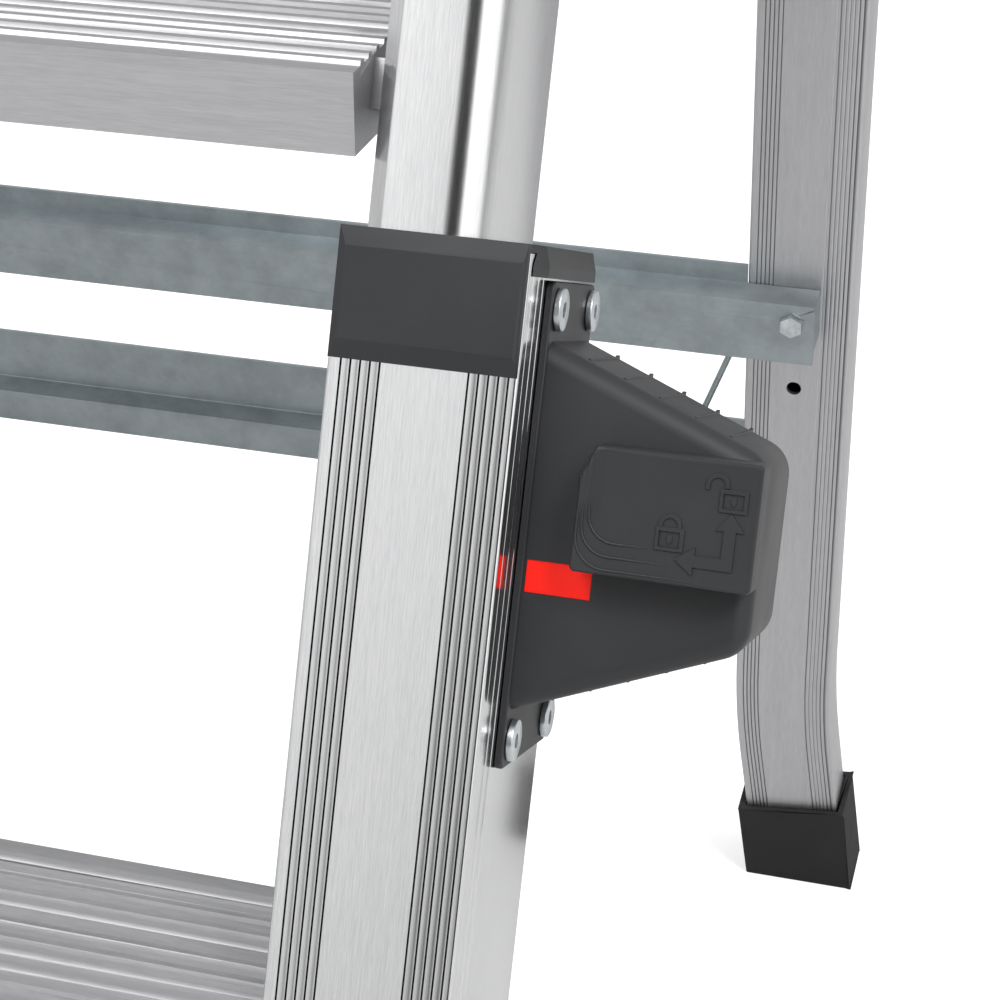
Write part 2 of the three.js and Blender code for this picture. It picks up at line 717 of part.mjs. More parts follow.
pair(frontFrame, 'leg_tube', legTube(), aluminium);
pair(frontFrame, 'leg_foot', legFoot(), rubber);
pair(frontFrame, 'collar', collar(), blackPlastic);
pair(frontFrame, 'lock_housing', lockHousing(), blackPlastic);
pair(frontFrame, 'status_red', field(redField), redPlastic);
pair(frontFrame, 'status_green', field(greenField), greenPlastic);
pair(frontFrame, 'lock_pedal', pedal(), blackPlastic);
pair(frontFrame, 'pedal_keeper', pedalKeeper(), galvanised);
pair(frontFrame, 'pedal_carrier', pedalCarrier(), blackPlastic);
pair(frontFrame, 'clamp_lever', clampLever(), galvanised);
pair(frontFrame, 'lever_pin', bar('y', pinRadius, housingFront + housingWall + gap,
    housingBack - housingWall - gap, pinAcross, lockHeight), zinc);
pair(frontFrame, 'clamp_shoe', clampShoe(), rubber);
for (const [level, rise] of [['upper', rivetRise], ['lower', -rivetRise]]) {
    for (const [place, depth] of [['front', rivetDepths[0]], ['rear', rivetDepths[1]]]) {
        pair(frontFrame, `rivet_${level}_${place}`, rivet(depth, rise), zinc);
    }
}

// ---------- rear frame ----------

// stations of the rear stile's middle line: straight, then flared outwards, down to the floor
function rearStations(extraTop, extraEnd) {
    const x = rearGap + rearWidth / 2;
    const bendSteps = 5;
    const stations = [{ x, z: rearTop + extraTop, angle: Math.PI }];
    for (let k = 0; k <= bendSteps; k++) {
        const turn = rearFlareAngle * k / bendSteps;
        stations.push({
            x: x + rearFlareRadius * (1 - Math.cos(turn)), z: -rearFlareStart - rearFlareRadius * Math.sin(turn),
            angle: Math.PI + turn });
    }
    const end = stations[bendSteps + 1];
    const rest = (hingeHeight / Math.cos(rearLean) - rearFootWall * 2 + end.z) / Math.cos(rearFlareAngle) + extraEnd;
    stations.push({
        x: end.x + rest * Math.sin(rearFlareAngle), z: end.z - rest * Math.cos(rearFlareAngle),
        angle: end.angle });
    return stations;
}

const rearHalf = [rearWidth / 2, rearDepth / 2];
const box = (a, b) => rectangle(-a, a, -b, b);

// everything that lies under the floor, in the rear frame
function belowFloor(depth) {
    const reach = 400;
    const geometry = new THREE.BoxGeometry(reach, reach, reach);
    geometry.translate(rearGap + rearWidth / 2, 0, -reach / 2 + depth);
    const lift = new THREE.Matrix4().makeTranslation(0, 0, -hingeHeight);
    const turn = new THREE.Matrix4().makeRotationX(-rearLean);
    return solid(geometry.applyMatrix4(lift).applyMatrix4(turn));
}

function rearStile() {
    const [a, b] = rearHalf;
    const outer = sweep(box(a, b), rearStations(0, 0));
    const inner = sweep(box(a - rearWall, b - rearWall), rearStations(1, 1));
    const x = rearGap + a - boltInset;
    const hole = (radius, z) => bar('y', radius, -b - 1, -b + rearWall + 1, x, z);
    const hinge = bar('x', hingeRadius + gap, rearGap - 1, rearGap + rearWidth + 1, 0, 0);
    return cut(outer, inner, hole(rearHoleRadius, -rearHole), hole(boltShank + gap, -rearBolt), hinge,
        belowFloor(rearFootWall * 2));
}

// the rear boot: a sleeve round the stile's lower end, with a level sole
function rearFoot() {
    const [a, b] = rearHalf;
    const stations = rearStations(0, 20).slice(-2);
    const [start, end] = stations;
    const length = Math.hypot(end.x - start.x, end.z - start.z);
    const keep = (rearFootTop + 20) / length;
    const top = { x: end.x + (start.x - end.x) * keep, z: end.z + (start.z - end.z) * keep, angle: end.angle };
    const outer = cut(sweep(box(a + rearFootWall, b + rearFootWall), [top, end]), belowFloor(0));
    const higher = { x: top.x + (start.x - end.x) / length * 2, z: top.z + (start.z - end.z) / length * 2,
        angle: top.angle };
    const socket = cut(sweep(box(a + gap, b + gap), [higher, end]), belowFloor(rearFootWall * 2 - gap));
    return cut(outer, socket);
}

// folded sheet brace on the stiles' front faces: tall web, ledge and, between the stiles, a short upstand
function upperBraceBody() {
    const t = braceSheet;
    const z = -upperBrace;
    const face = -rearHalf[1];
    const inner = halfWidth + rearGap - gap;
    const end = halfWidth + rearGap + braceOverlap;
    const front = face - braceLedge;
    const web = block(-end, end, front, front + t, z - braceTall, z);
    const ledge = block(-end, end, front, face - gap, z - t, z);
    const upstand = join(block(-inner, inner, face - t, face - gap + t, z - t, z),
        block(-inner, inner, face - gap, face - gap + t, z - t, z + braceShort[0]));
    const returns = [-1, 1].map((side) => block(Math.min(side * end, side * (end - t)),
        Math.max(side * end, side * (end - t)), front, face - gap, z - braceTall + 6, z));
    const boltX = halfWidth + rearGap + rearHalf[0] - boltInset;
    const holes = [-1, 1].map((side) => bar('y', boltShank + gap, front - 1, front + t + 1, side * boltX, -rearBolt));
    return cut(join(web, ledge, upstand, ...returns), ...holes);
}

// the same section turned over, behind the stiles
function lowerBraceBody() {
    const t = braceSheet;
    const z = -lowerBrace;
    const face = rearHalf[1] + gap;
    const end = halfWidth + rearGap + braceOverlap;
    const back = face + braceLedge;
    const web = block(-end, end, back - t, back, z, z + braceTall);
    const ledge = block(-end, end, face, back, z, z + t);
    const lip = block(-end, end, face, face + t, z - braceShort[1], z + t);
    return join(web, ledge, lip);
}

// bolt with its spacer: head, shank through the brace, spacer, shank into the stile
function braceBolt() {
    const face = -rearHalf[1];
    const front = face - braceLedge;
    const x = rearGap + rearHalf[0] - boltInset;
    const [headRadius, headThick] = boltHead;
    return join(
        bar('y', headRadius, front - gap - headThick, front - gap, x, -rearBolt, 6),
        bar('y', boltShank, front - gap - 1, face + rearWall + boltInside, x, -rearBolt, 16),
        bar('y', boltSpacer, front + braceSheet + gap, face - gap, x, -rearBolt, 20));
}

function crossRail() {
    const end = halfWidth + rearGap + rearWidth - railInset;
    const face = rearHalf[1] + gap;
    const outer = block(-end, end, face, face + railSize, -railBelow - railSize, -railBelow);
    const inner = block(-end - 1, end + 1, face + railWall, face + railSize - railWall,
        -railBelow - railSize + railWall, -railBelow - railWall);
    return cut(outer, inner);
}

// thin stay from the upper brace's web down to the lower brace
function stayRod() {
    const top = new THREE.Vector3(rearGap - 2.5, -rearHalf[1] - braceLedge + braceSheet + gap + stayRadius,
        -upperBrace - braceTall + 7);
    const low = new THREE.Vector3(rearGap - 33.5, rearHalf[1] + gap + braceLedge - braceSheet - gap - stayRadius,
        -lowerBrace + braceTall - 12);
    const line = low.clone().sub(top);
    const rod = new THREE.CylinderGeometry(stayRadius, stayRadius, line.length(), 12);
    rod.applyQuaternion(new THREE.Quaternion().setFromUnitVectors(new THREE.Vector3(0, 1, 0), line.normalize()));
    rod.translate((top.x + low.x) / 2, (top.y + low.y) / 2, (top.z + low.z) / 2);
    const eyes = [top, low].map((p) => bar('x', 3, p.x - 4, p.x + 4, p.y, p.z, 14));
    const flat = (y0, y1) => block(-60, 20, y0, y1, -lowerBrace - 20, -upperBrace + 20);
    const front = -rearHalf[1] - braceLedge + braceSheet + gap;
    const back = rearHalf[1] + braceLedge - braceSheet;
    return cut(join(solid(rod), ...eyes), flat(front - 20, front), flat(back, back + 20));
}

pair(rearFrame, 'rear_stile', rearStile(), aluminium);
pair(rearFrame, 'rear_foot', rearFoot(), rubber);
pair(rearFrame, 'stay_rod', stayRod(), galvanised);
pair(rearFrame, 'brace_bolt', braceBolt(), zinc);
add(rearFrame, 'upper_brace', geometryOf(upperBraceBody()), galvanised);
add(rearFrame, 'lower_brace', geometryOf(lowerBraceBody()), galvanised);
add(rearFrame, 'cross_rail', geometryOf(crossRail()), aluminium);

// ---------- origin under the middle of the box ----------

ladder.updateMatrixWorld(true);
const bounds = new THREE.Box3().setFromObject(ladder, true);
ladder.position.set(0, -(bounds.min.y + bounds.max.y) / 2, -bounds.min.z);

export default ladder;
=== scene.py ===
# Platform step ladder with levelling front legs: the looks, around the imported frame.
# Everything is in metres in the frame's axes; pieces are drawn in millimetres and then placed.
import bpy
import bmesh
import json
import math
import numpy as np
from mathutils import Matrix, Vector

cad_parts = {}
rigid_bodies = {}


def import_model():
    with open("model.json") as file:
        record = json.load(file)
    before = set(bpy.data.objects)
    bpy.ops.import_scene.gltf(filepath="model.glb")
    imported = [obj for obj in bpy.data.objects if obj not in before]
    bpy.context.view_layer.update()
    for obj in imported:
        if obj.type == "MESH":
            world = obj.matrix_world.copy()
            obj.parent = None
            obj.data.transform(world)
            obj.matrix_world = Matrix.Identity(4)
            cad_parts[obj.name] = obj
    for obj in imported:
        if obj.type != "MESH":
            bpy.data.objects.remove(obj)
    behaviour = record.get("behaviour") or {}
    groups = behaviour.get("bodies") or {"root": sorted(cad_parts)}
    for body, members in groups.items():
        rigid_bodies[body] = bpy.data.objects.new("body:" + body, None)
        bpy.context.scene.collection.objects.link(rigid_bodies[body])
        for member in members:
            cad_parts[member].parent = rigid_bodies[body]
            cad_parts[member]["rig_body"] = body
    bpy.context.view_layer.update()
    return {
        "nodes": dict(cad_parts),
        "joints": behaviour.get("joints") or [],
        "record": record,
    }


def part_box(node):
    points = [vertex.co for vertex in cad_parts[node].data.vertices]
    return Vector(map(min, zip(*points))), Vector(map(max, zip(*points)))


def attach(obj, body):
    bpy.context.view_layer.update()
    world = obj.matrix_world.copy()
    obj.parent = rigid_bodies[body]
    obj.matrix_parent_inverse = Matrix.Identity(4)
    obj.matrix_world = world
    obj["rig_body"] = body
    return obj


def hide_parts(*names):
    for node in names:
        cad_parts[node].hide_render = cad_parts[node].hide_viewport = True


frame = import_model()
nodes = frame["nodes"]
joints = {joint["name"]: joint for joint in frame["joints"]}
slotOfNode = {part["node"]: part["material_slot"] for part in frame["record"]["subparts"]}
print("frame loaded:", len(nodes), "nodes")

# ---- where things are ----

mm = 0.001
across = np.array([1.0, 0.0, 0.0])
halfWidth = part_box("leg_tube_right")[1].x / mm  # middle of the ladder to an outer leg's outer face
hingePoint = np.array(joints["rear_fold"]["pos_m"]) / mm
hingeDepth = 60  # the rear hinge, behind the front leg's front face
rearLean = math.radians(8.5)

legUp = -np.array(joints["leg_slide_right"]["axis"])
legBack = np.array([0, legUp[2], -legUp[1]])
hingeAlong = (hingePoint[2] - hingeDepth * legBack[2]) / legUp[2]  # up the leg from the floor
legStart = hingePoint - hingeDepth * legBack - hingeAlong * legUp
legAxes = (legStart, across, legBack, legUp)  # origin, then X, depth and height

rearUp = np.array([0, -math.sin(rearLean), math.cos(rearLean)])
rearBack = np.array([0, math.cos(rearLean), math.sin(rearLean)])
rearAxes = (hingePoint, across, rearBack, rearUp)  # origin on the hinge
plainAxes = (np.zeros(3), across, np.array([0.0, 1.0, 0.0]), np.array([0.0, 0.0, 1.0]))


def localBox(node, axes):
    # lowest and highest corner of a frame node along the given axes, in millimetres
    mesh = nodes[node].data
    points = np.zeros(len(mesh.vertices) * 3)
    mesh.vertices.foreach_get("co", points)
    points = points.reshape(-1, 3) / mm - axes[0]
    local = points @ np.stack(axes[1:]).T
    return local.min(0), local.max(0)


def sideBox(node, axes):
    # the same for a right-hand node, with X counted from the leg's outer face
    low, high = localBox(node, axes)
    shift = np.array([halfWidth, 0, 0])
    return low - shift, high - shift


# ---- colours and materials ----

def colour(text):
    # sRGB hex to linear RGBA
    values = [int(text[i:i + 2], 16) / 255 for i in (0, 2, 4)]
    return [v / 12.92 if v <= 0.04045 else ((v + 0.055) / 1.055) ** 2.4 for v in values] + [1]


def addNode(material, kind, settings=None, **inputs):
    # one node with its settings; an input that is a socket is linked, anything else is set
    node = material.node_tree.nodes.new("ShaderNode" + kind)
    for key, value in (settings or {}).items():
        setattr(node, key, value)
    for key, value in inputs.items():
        numbered = key[0] == "i" and key[1:].isdigit()
        socket = node.inputs[int(key[1:]) if numbered else key.replace("_", " ")]
        if isinstance(value, bpy.types.NodeSocket):
            material.node_tree.links.new(value, socket)
        else:
            socket.default_value = value
    return node


def newMaterial(name):
    material = bpy.data.materials.new(name)
    material.use_nodes = True
    material.node_tree.nodes.clear()
    return material


def finishMaterial(material, shader):
    output = material.node_tree.nodes.new("ShaderNodeOutputMaterial")
    material.node_tree.links.new(shader.outputs[0], output.inputs[0])
    return material


def ramp(material, factor, stops):
    # colour ramp from a list of (place, colour) stops
    node = addNode(material, "ValToRGB", None, Fac=factor)
    elements = node.color_ramp.elements
    while len(elements) < len(stops):
        elements.new(0.5)
    for element, (place, value) in zip(elements, stops):
        element.position = place
        element.color = value
    return node.outputs[0]


def stretched(material, turn, size):
    # object coordinates turned to a piece's own run, and stretched to a cell of the given size in mm
    place = addNode(material, "TexCoord").outputs["Object"]
    upright = addNode(material, "Mapping", {"vector_type": "POINT"}, Vector=place, Rotation=turn)
    return addNode(material, "VectorMath", {"operation": "MULTIPLY"}, i0=upright.outputs[0],
                   i1=[1000 / s for s in size]).outputs[0]


def drawnAluminium(name, turn, look):
    # 6063 aluminium extrusion, brushed along its run: fine bright scratches, soft long reflections
    material = newMaterial(name)
    fine = addNode(material, "TexNoise", None, Vector=stretched(material, turn, look["scratch"]),
                   Scale=1.0, Detail=3.0, Roughness=0.6)
    long = addNode(material, "TexNoise", None, Vector=stretched(material, turn, look["streak"]),
                   Scale=1.0, Detail=2.0, Roughness=0.5)
    both = addNode(material, "Math", {"operation": "MULTIPLY_ADD"}, i0=long.outputs[0],
                   i1=look["streakShare"],
                   i2=fine.outputs[0])
    base = ramp(material, both.outputs[0], [(look["low"], colour(look["dark"])), (look["high"],
                                                            colour(look["light"]))])
    # painted shade: points marked at the bottom of grooves take the dark floor colour in place of the brushed
    # tone
    floor = addNode(material, "Attribute", {"attribute_name": "paintedGrooveShade"}).outputs["Fac"]
    base = addNode(material, "MixRGB", None, Fac=floor, Color1=base, Color2=colour(look["floor"])).outputs[0]
    spread = addNode(material, "MapRange", None, Value=both.outputs[0], From_Min=look["low"],
                     From_Max=look["high"],
                     To_Min=look["rough"][0], To_Max=look["rough"][1])
    relief = addNode(material, "Bump", None, Strength=look["relief"], Distance=0.00005,
                     Height=both.outputs[0])
    shader = addNode(material, "BsdfPrincipled", None, Base_Color=base, Metallic=1.0,
                     Roughness=spread.outputs[0], Normal=relief.outputs[0])
    return finishMaterial(material, shader)


def galvanisedSheet(name, look):
    # hot-dip galvanised steel sheet: bluish grey, faint spangle, slightly uneven sheen
    material = newMaterial(name)
    place = addNode(material, "TexCoord").outputs["Object"]
    spangle = addNode(material, "TexVoronoi", {"feature": "F1"}, Vector=place, Scale=1000 / look["spangle"])
    cloud = addNode(material, "TexNoise", None, Vector=place, Scale=1000 / look["cloud"], Detail=4.0,
                    Roughness=0.65)
    grain = addNode(material, "TexNoise", None, Vector=place, Scale=1000 / look["grain"], Detail=2.0)
    tone = addNode(material, "Math", {"operation": "MULTIPLY_ADD"}, i0=spangle.outputs["Color"],
                   i1=look["spangleShare"],
                   i2=cloud.outputs[0])
    base = ramp(material, tone.outputs[0], [(0.35, colour(look["dark"])), (0.8, colour(look["light"]))])
    spread = addNode(material, "MapRange", None, Value=tone.outputs[0], From_Min=0.3, From_Max=0.9,
                     To_Min=look["rough"][0], To_Max=look["rough"][1])
    relief = addNode(material, "Bump", None, Strength=look["relief"], Distance=0.0001,
                     Height=grain.outputs[0])
    shader = addNode(material, "BsdfPrincipled", None, Base_Color=base, Metallic=0.9,
                     Roughness=spread.outputs[0], Normal=relief.outputs[0])
    return finishMaterial(material, shader)


def mouldedPlastic(name, look):
    # injection-moulded plastic with a fine spark-eroded grain, satin, slightly worn smooth in places
    material = newMaterial(name)
    place = addNode(material, "TexCoord").outputs["Object"]
    grain = addNode(material, "TexNoise", None, Vector=place, Scale=1000 / look["grain"], Detail=2.0,
                    Roughness=0.5)
    cloud = addNode(material, "TexNoise", None, Vector=place, Scale=1000 / look["cloud"], Detail=3.0)
    base = ramp(material, cloud.outputs[0], [(0.3, colour(look["dark"])), (0.7, colour(look["light"]))])
    spread = addNode(material, "MapRange", None, Value=cloud.outputs[0], From_Min=0.3, From_Max=0.7,
                     To_Min=look["rough"][0], To_Max=look["rough"][1])
    relief = addNode(material, "Bump", None, Strength=look["relief"], Distance=0.00006,
                     Height=grain.outputs[0])
    shader = addNode(material, "BsdfPrincipled", None, Base_Color=base, Roughness=spread.outputs[0],
                     Normal=relief.outputs[0])
    shader.inputs["Specular IOR Level"].default_value = look["sheen"]
    return finishMaterial(material, shader)


# floor is the painted shade colour given to the bottoms of grooves
brushedLook = {"scratch": (0.2, 0.2, 6), "streak": (0.6, 0.6, 22), "streakShare": 0.5, "low": 0.45,
               "high": 1.05,
               "dark": "cfd0d1", "light": "e9e9ea", "floor": "3a3a3b", "rough": (0.14, 0.19), "relief": 0.07}
satinLook = {"scratch": (0.4, 0.4, 9), "streak": (3, 3, 60), "streakShare": 0.5, "low": 0.45, "high": 1.05,
             "dark": "b2b2b4", "light": "c6c6c8", "floor": "6a6a6c", "rough": (0.4, 0.48), "relief": 0.08}
legTurn = (math.atan2(legUp[1], legUp[2]), 0, 0)  # turns the leg's run upright
materials = {
    "brushed_aluminium": drawnAluminium("brushedAluminium", legTurn, brushedLook),
    "satin_aluminium": drawnAluminium("satinAluminium", (-rearLean, 0, 0), satinLook),
    "across_aluminium": drawnAluminium("treadAluminium", (0, math.pi / 2, 0), satinLook),
    "galvanised_steel": galvanisedSheet("galvanisedSheet", {
        "spangle": 5, "spangleShare": 0.08, "cloud": 22, "grain": 1.2, "dark": "8f979a", "light": "a9b1b4",
        "rough": (0.4, 0.46), "relief": 0.08}),
    "zinc_steel": galvanisedSheet("zincPlate", {
        "spangle": 1.5, "spangleShare": 0.15, "cloud": 5, "grain": 0.5, "dark": "b4babd", "light": "dce0e2",
        "rough": (0.26, 0.38), "relief": 0.1}),
    "black_plastic": mouldedPlastic("glassFilledNylon", {
        "grain": 0.35, "cloud": 30, "dark": "232426", "light": "262729", "rough": (0.46,
                                                            0.52), "relief": 0.45,
        "sheen": 0.42}),
    "rubber": mouldedPlastic("mouldedRubber", {
        "grain": 0.6, "cloud": 18, "dark": "1f1f20", "light": "29292a", "rough": (0.7, 0.85), "relief": 0.4,
        "sheen": 0.3}),
    "red_plastic": mouldedPlastic("signalRedPlastic", {
        "grain": 0.5, "cloud": 8, "dark": "ff1606", "light": "ff1e0a", "rough": (0.45, 0.55), "relief": 0.1,
        "sheen": 0.3}),
    "green_plastic": mouldedPlastic("signalGreenPlastic", {
        "grain": 0.5, "cloud": 8, "dark": "149048", "light": "1f9d54", "rough": (0.45, 0.55), "relief": 0.1,
        "sheen": 0.3}),
}
print("materials made:", len(materials))

# ---- drawing surfaces ----

def roundCorners(points, radii, steps=5):
    # straight outline whose corners become arcs: each arc runs between the points r / tan(half angle) away
    # from the corner on its two sides, about the centre r / sin(half angle) away along the bisector
    points = np.array(points, float)
    out = []
    for i, radius in enumerate(radii):
        here, before, after = points[i], points[i - 1], points[(i + 1) % len(points)]
        if radius == 0:
            out.append(here[None])
            continue
        back = (before - here) / np.linalg.norm(before - here)
        ahead = (after - here) / np.linalg.norm(after - here)
        half = math.acos(np.clip(back @ ahead, -1, 1)) / 2
        middle = here + (back + ahead) / np.linalg.norm(back + ahead) * radius / math.sin(half)
        start = here + back * radius / math.tan(half) - middle
        sign = -np.sign(back[0] * ahead[1] - back[1] * ahead[0])
        turn = sign * (math.pi - 2 * half) * np.linspace(0, 1, steps + 1)
        out.append(middle + np.stack([start[0] * np.cos(turn) - start[1] * np.sin(turn),
                                      start[0] * np.sin(turn) + start[1] * np.cos(turn)], -1))
    return np.concatenate(out)


def rectangle(x0, x1, y0, y1):
    return [[x0, y0], [x1, y0], [x1, y1], [x0, y1]]


def pointsOf(piece):
    points = np.zeros(len(piece.data.vertices) * 3)
    piece.data.vertices.foreach_get("co", points)
    return points.reshape(-1, 3)


def asPiece(name, points, faces):
    mesh = bpy.data.meshes.new(name)
    mesh.from_pydata(np.asarray(points, float).reshape(-1, 3).tolist(), [], faces)
    piece = bpy.data.objects.new(name, mesh)
    bpy.context.scene.collection.objects.link(piece)
    outward(piece)
    return piece


def outward(piece):
    work = bmesh.new()
    work.from_mesh(piece.data)
    bmesh.ops.remove_doubles(work, verts=work.verts, dist=1e-5)
    bmesh.ops.recalc_face_normals(work, faces=work.faces)
    work.to_mesh(piece.data)
    work.free()


def loft(name, rings, loop=False):
    # quads between neighbouring rings of equal count; the ends are capped, or joined where the rings loop
    rings = np.asarray(rings, float)
    count, length = rings.shape[0], rings.shape[1]
    ring = np.arange(count if loop else count - 1)[:, None]
    i = np.arange(length)[None]
    j = (i + 1) % length
    nextRing = (ring + 1) % count
    quads = np.stack([ring * length + i, ring * length + j, nextRing * length + j, nextRing * length + i], -1)
    faces = quads.reshape(-1, 4).tolist()
    if not loop:
        faces.append(list(range(length))[::-1])
        faces.append(list(range((count - 1) * length, count * length)))
    return asPiece(name, rings, faces)


def atHeight(outline, value, axis):
    # flat outline raised to 3-D, with the given value put in as coordinate number axis
    return np.insert(np.asarray(outline, float), axis, value, axis=1)


def prism(name, outline, low, high, axis=2):
    return loft(name, [atHeight(outline, low, axis), atHeight(outline, high, axis)])


def block(name, x0, x1, y0, y1, z0, z1):
    return prism(name, rectangle(x0, x1, y0, y1), z0, z1)


def lathe(name, profile, axis, centre, sides=40):
    # profile of (radius, height) turned about the named axis through the centre
    profile = np.asarray(profile, float)
    turn = np.linspace(0, 2 * math.pi, sides, endpoint=False)
    rings = np.zeros((len(profile), sides, 3))
    others = [k for k in range(3) if k != axis]
    rings[..., others[0]] = profile[:, :1] * np.cos(turn)
    rings[..., others[1]] = profile[:, :1] * np.sin(turn)
    rings[..., axis] = profile[:, 1:]
    return loft(name, rings + np.asarray(centre, float))


def settle(piece):
    # bakes a piece's modifiers into its mesh
    graph = bpy.context.evaluated_depsgraph_get()
    mesh = bpy.data.meshes.new_from_object(piece.evaluated_get(graph))
    piece.modifiers.clear()
    old = piece.data
    piece.data = mesh
    bpy.data.meshes.remove(old)
    return piece


def combine(piece, tools, operation):
    # exact boolean with each tool in turn
    for tool in tools:
        modifier = piece.modifiers.new("combine", "BOOLEAN")
        modifier.operation = operation
        modifier.solver = "EXACT"
        modifier.object = tool
        settle(piece)
        bpy.data.objects.remove(tool)
    return piece


def soften(piece, width, segments=2, angle=28, merge=1e-4):
    # small rounding on every edge sharper than the angle; points closer than merge become one first,
    # and corners that the rounding throws out are brought back into the piece's own box
    before = pointsOf(piece)
    work = bmesh.new()
    work.from_mesh(piece.data)
    bmesh.ops.remove_doubles(work, verts=work.verts, dist=merge)
    bmesh.ops.dissolve_limit(work, angle_limit=math.radians(0.5), verts=work.verts, edges=work.edges)
    work.to_mesh(piece.data)
    work.free()
    modifier = piece.modifiers.new("soften", "BEVEL")
    modifier.width = width
    modifier.segments = segments
    modifier.limit_method = "ANGLE"
    modifier.angle_limit = math.radians(angle)
    modifier.miter_outer = "MITER_ARC"
    settle(piece)
    piece.data.vertices.foreach_set("co", np.clip(pointsOf(piece), before.min(0), before.max(0)).ravel())
    piece.data.update()
    return piece


def copyOfNode(node, axes, right=False):
    # a frame node's shape in local millimetres
    mesh = nodes[node].data.copy()
    points = np.zeros(len(mesh.vertices) * 3)
    mesh.vertices.foreach_get("co", points)
    local = (points.reshape(-1, 3) / mm - axes[0]) @ np.stack(axes[1:]).T
    if right:
        local[:, 0] -= halfWidth
    mesh.vertices.foreach_set("co", local.ravel())
    mesh.materials.clear()
    while mesh.attributes.get("UVMap"):
        mesh.attributes.remove(mesh.attributes["UVMap"])
    piece = bpy.data.objects.new(node, mesh)
    bpy.context.scene.collection.objects.link(piece)
    outward(piece)
    return piece


# ---- putting pieces in the frame ----

def fit(piece, name, node, axes, side=0, material=None, smooth=32):
    # millimetres along the axes to metres in the frame; side 1 or -1 counts X from that leg's outer face
    mesh = piece.data
    points = np.zeros(len(mesh.vertices) * 3)
    mesh.vertices.foreach_get("co", points)
    points = points.reshape(-1, 3)
    if side:
        points[:, 0] = side * (halfWidth + points[:, 0])
    mesh.vertices.foreach_set("co", ((axes[0] + points @ np.stack(axes[1:])) * mm).ravel())
    if side < 0:
        mesh.flip_normals()
    mesh.shade_smooth()
    mesh.set_sharp_from_angle(angle=math.radians(smooth))
    mesh.materials.clear()
    mesh.materials.append(materials[material or slotOfNode[node]])
    mesh.update()
    piece.name = name
    mesh.name = name
    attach(piece, nodes[node]["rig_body"])
    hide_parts(node)
    return piece


def fitPair(piece, name, stem, axes, material=None, smooth=32):
    # the piece on the right leg and its mirror image on the left
    twin = piece.copy()
    twin.data = piece.data.copy()
    bpy.context.scene.collection.objects.link(twin)
    fit(piece, name + "Right", stem + "_right", axes, 1, material, smooth)
    fit(twin, name + "Left", stem + "_left", axes, -1, material, smooth)


def paintedGrooveShade(piece, deep):
    # marks the points that lie at the bottom of grooves, which the material paints dark as painted shade
    layer = piece.data.attributes.new("paintedGrooveShade", "FLOAT", "POINT")
    layer.data.foreach_set("value", np.asarray(deep, float))
    return piece


# ---- levelling legs ----

tubeLook = {"wall": 2.5, "lip": 14, "corner": 1.2, "margin": 4.3, "pitch": 3.09, "grooves": 5,
            "rightMargin": 3.1,
            "side": [5.5, 12.5, 19], "floor": 0.35}


def grooveOutline(places, last):
    # one groove and the land after it, as (place, depth): a narrow slot, a bright bevel on its far lip,
    # a land that falls a little in its last third
    slot = [(-0.2, 0.0), (-0.19, 0.7), (0.14, 0.7), (0.18, 0.25), (0.46, 0.0)]
    out = []
    for i, place in enumerate(places):
        out += [(place + s, d) for s, d in slot]
        if i < len(places) - 1:
            step = places[i + 1] - place
            out += [(place + 0.62 * step, 0.0), (place + 0.68 * step, 0.03), (place + step - 0.3, 0.06)]
    return np.array(out + last)


def legTube():
    look = tubeLook
    low, high = sideBox("leg_tube_right", legAxes)
    width, depth, wall = high[0] - low[0], high[1] - low[1], look["wall"]
    steps = look["pitch"] * np.arange(look["grooves"])
    left = grooveOutline(-width + look["margin"] + steps, [])
    right = grooveOutline(-look["rightMargin"] - steps[::-1], [])
    side = grooveOutline(np.array(look["side"]), [])
    front = roundCorners([[-width, look["lip"]], [-width, 0], [-width + 4, 0]], [0, look["corner"], 0])[:-1]
    nearCorner = roundCorners([[-1.5, 0], [0, 0], [0, 1.8]], [0, look["corner"], 0], 6)[1:]
    back = roundCorners(
        [[0, 20], [0, depth], [-width, depth], [-width, depth - look["lip"]],
         [-width + wall, depth - look["lip"]],
         [-width + wall, depth - wall], [-wall, depth - wall], [-wall, wall], [-width + wall, wall],
         [-width + wall, look["lip"]]],
        [0, look["corner"], look["corner"], 0.6, 0.6, 0, 0, 0, 0, 0.6])[1:]
    sideLine = np.stack([-side[:, 1], side[:, 0]], -1)
    outline = np.concatenate([front, left, right, nearCorner, sideLine, back])
    tube = prism("legTube", outline, low[2], high[2])
    points = pointsOf(tube)
    # painted shade: points lying deeper than floor in the front and side grooves are marked for the dark
    # groove colour
    inFront = (points[:, 1] > look["floor"]) & (points[:, 1] < wall / 2) & (points[:, 0] < -look["corner"])
    inSide = (points[:, 0] < -look["floor"]) & (points[:, 0] > -wall / 2) & (points[:, 1] > look["corner"])
    return paintedGrooveShade(tube, (inFront & (points[:, 0] > look["corner"] - width)) | (inSide & (points[:,
                                                            1] < 25)))


fitPair(legTube(), "legTube", "leg_tube", legAxes, smooth=20)
print("leg tubes made")

collarLook = {"inset": 0.8, "slope": 6, "slopeDepth": 1.6, "leftBevel": 2.7, "band": 9.5, "facet": (1.6, 12),
              "rearCut": 8.8, "edge": 0.35}


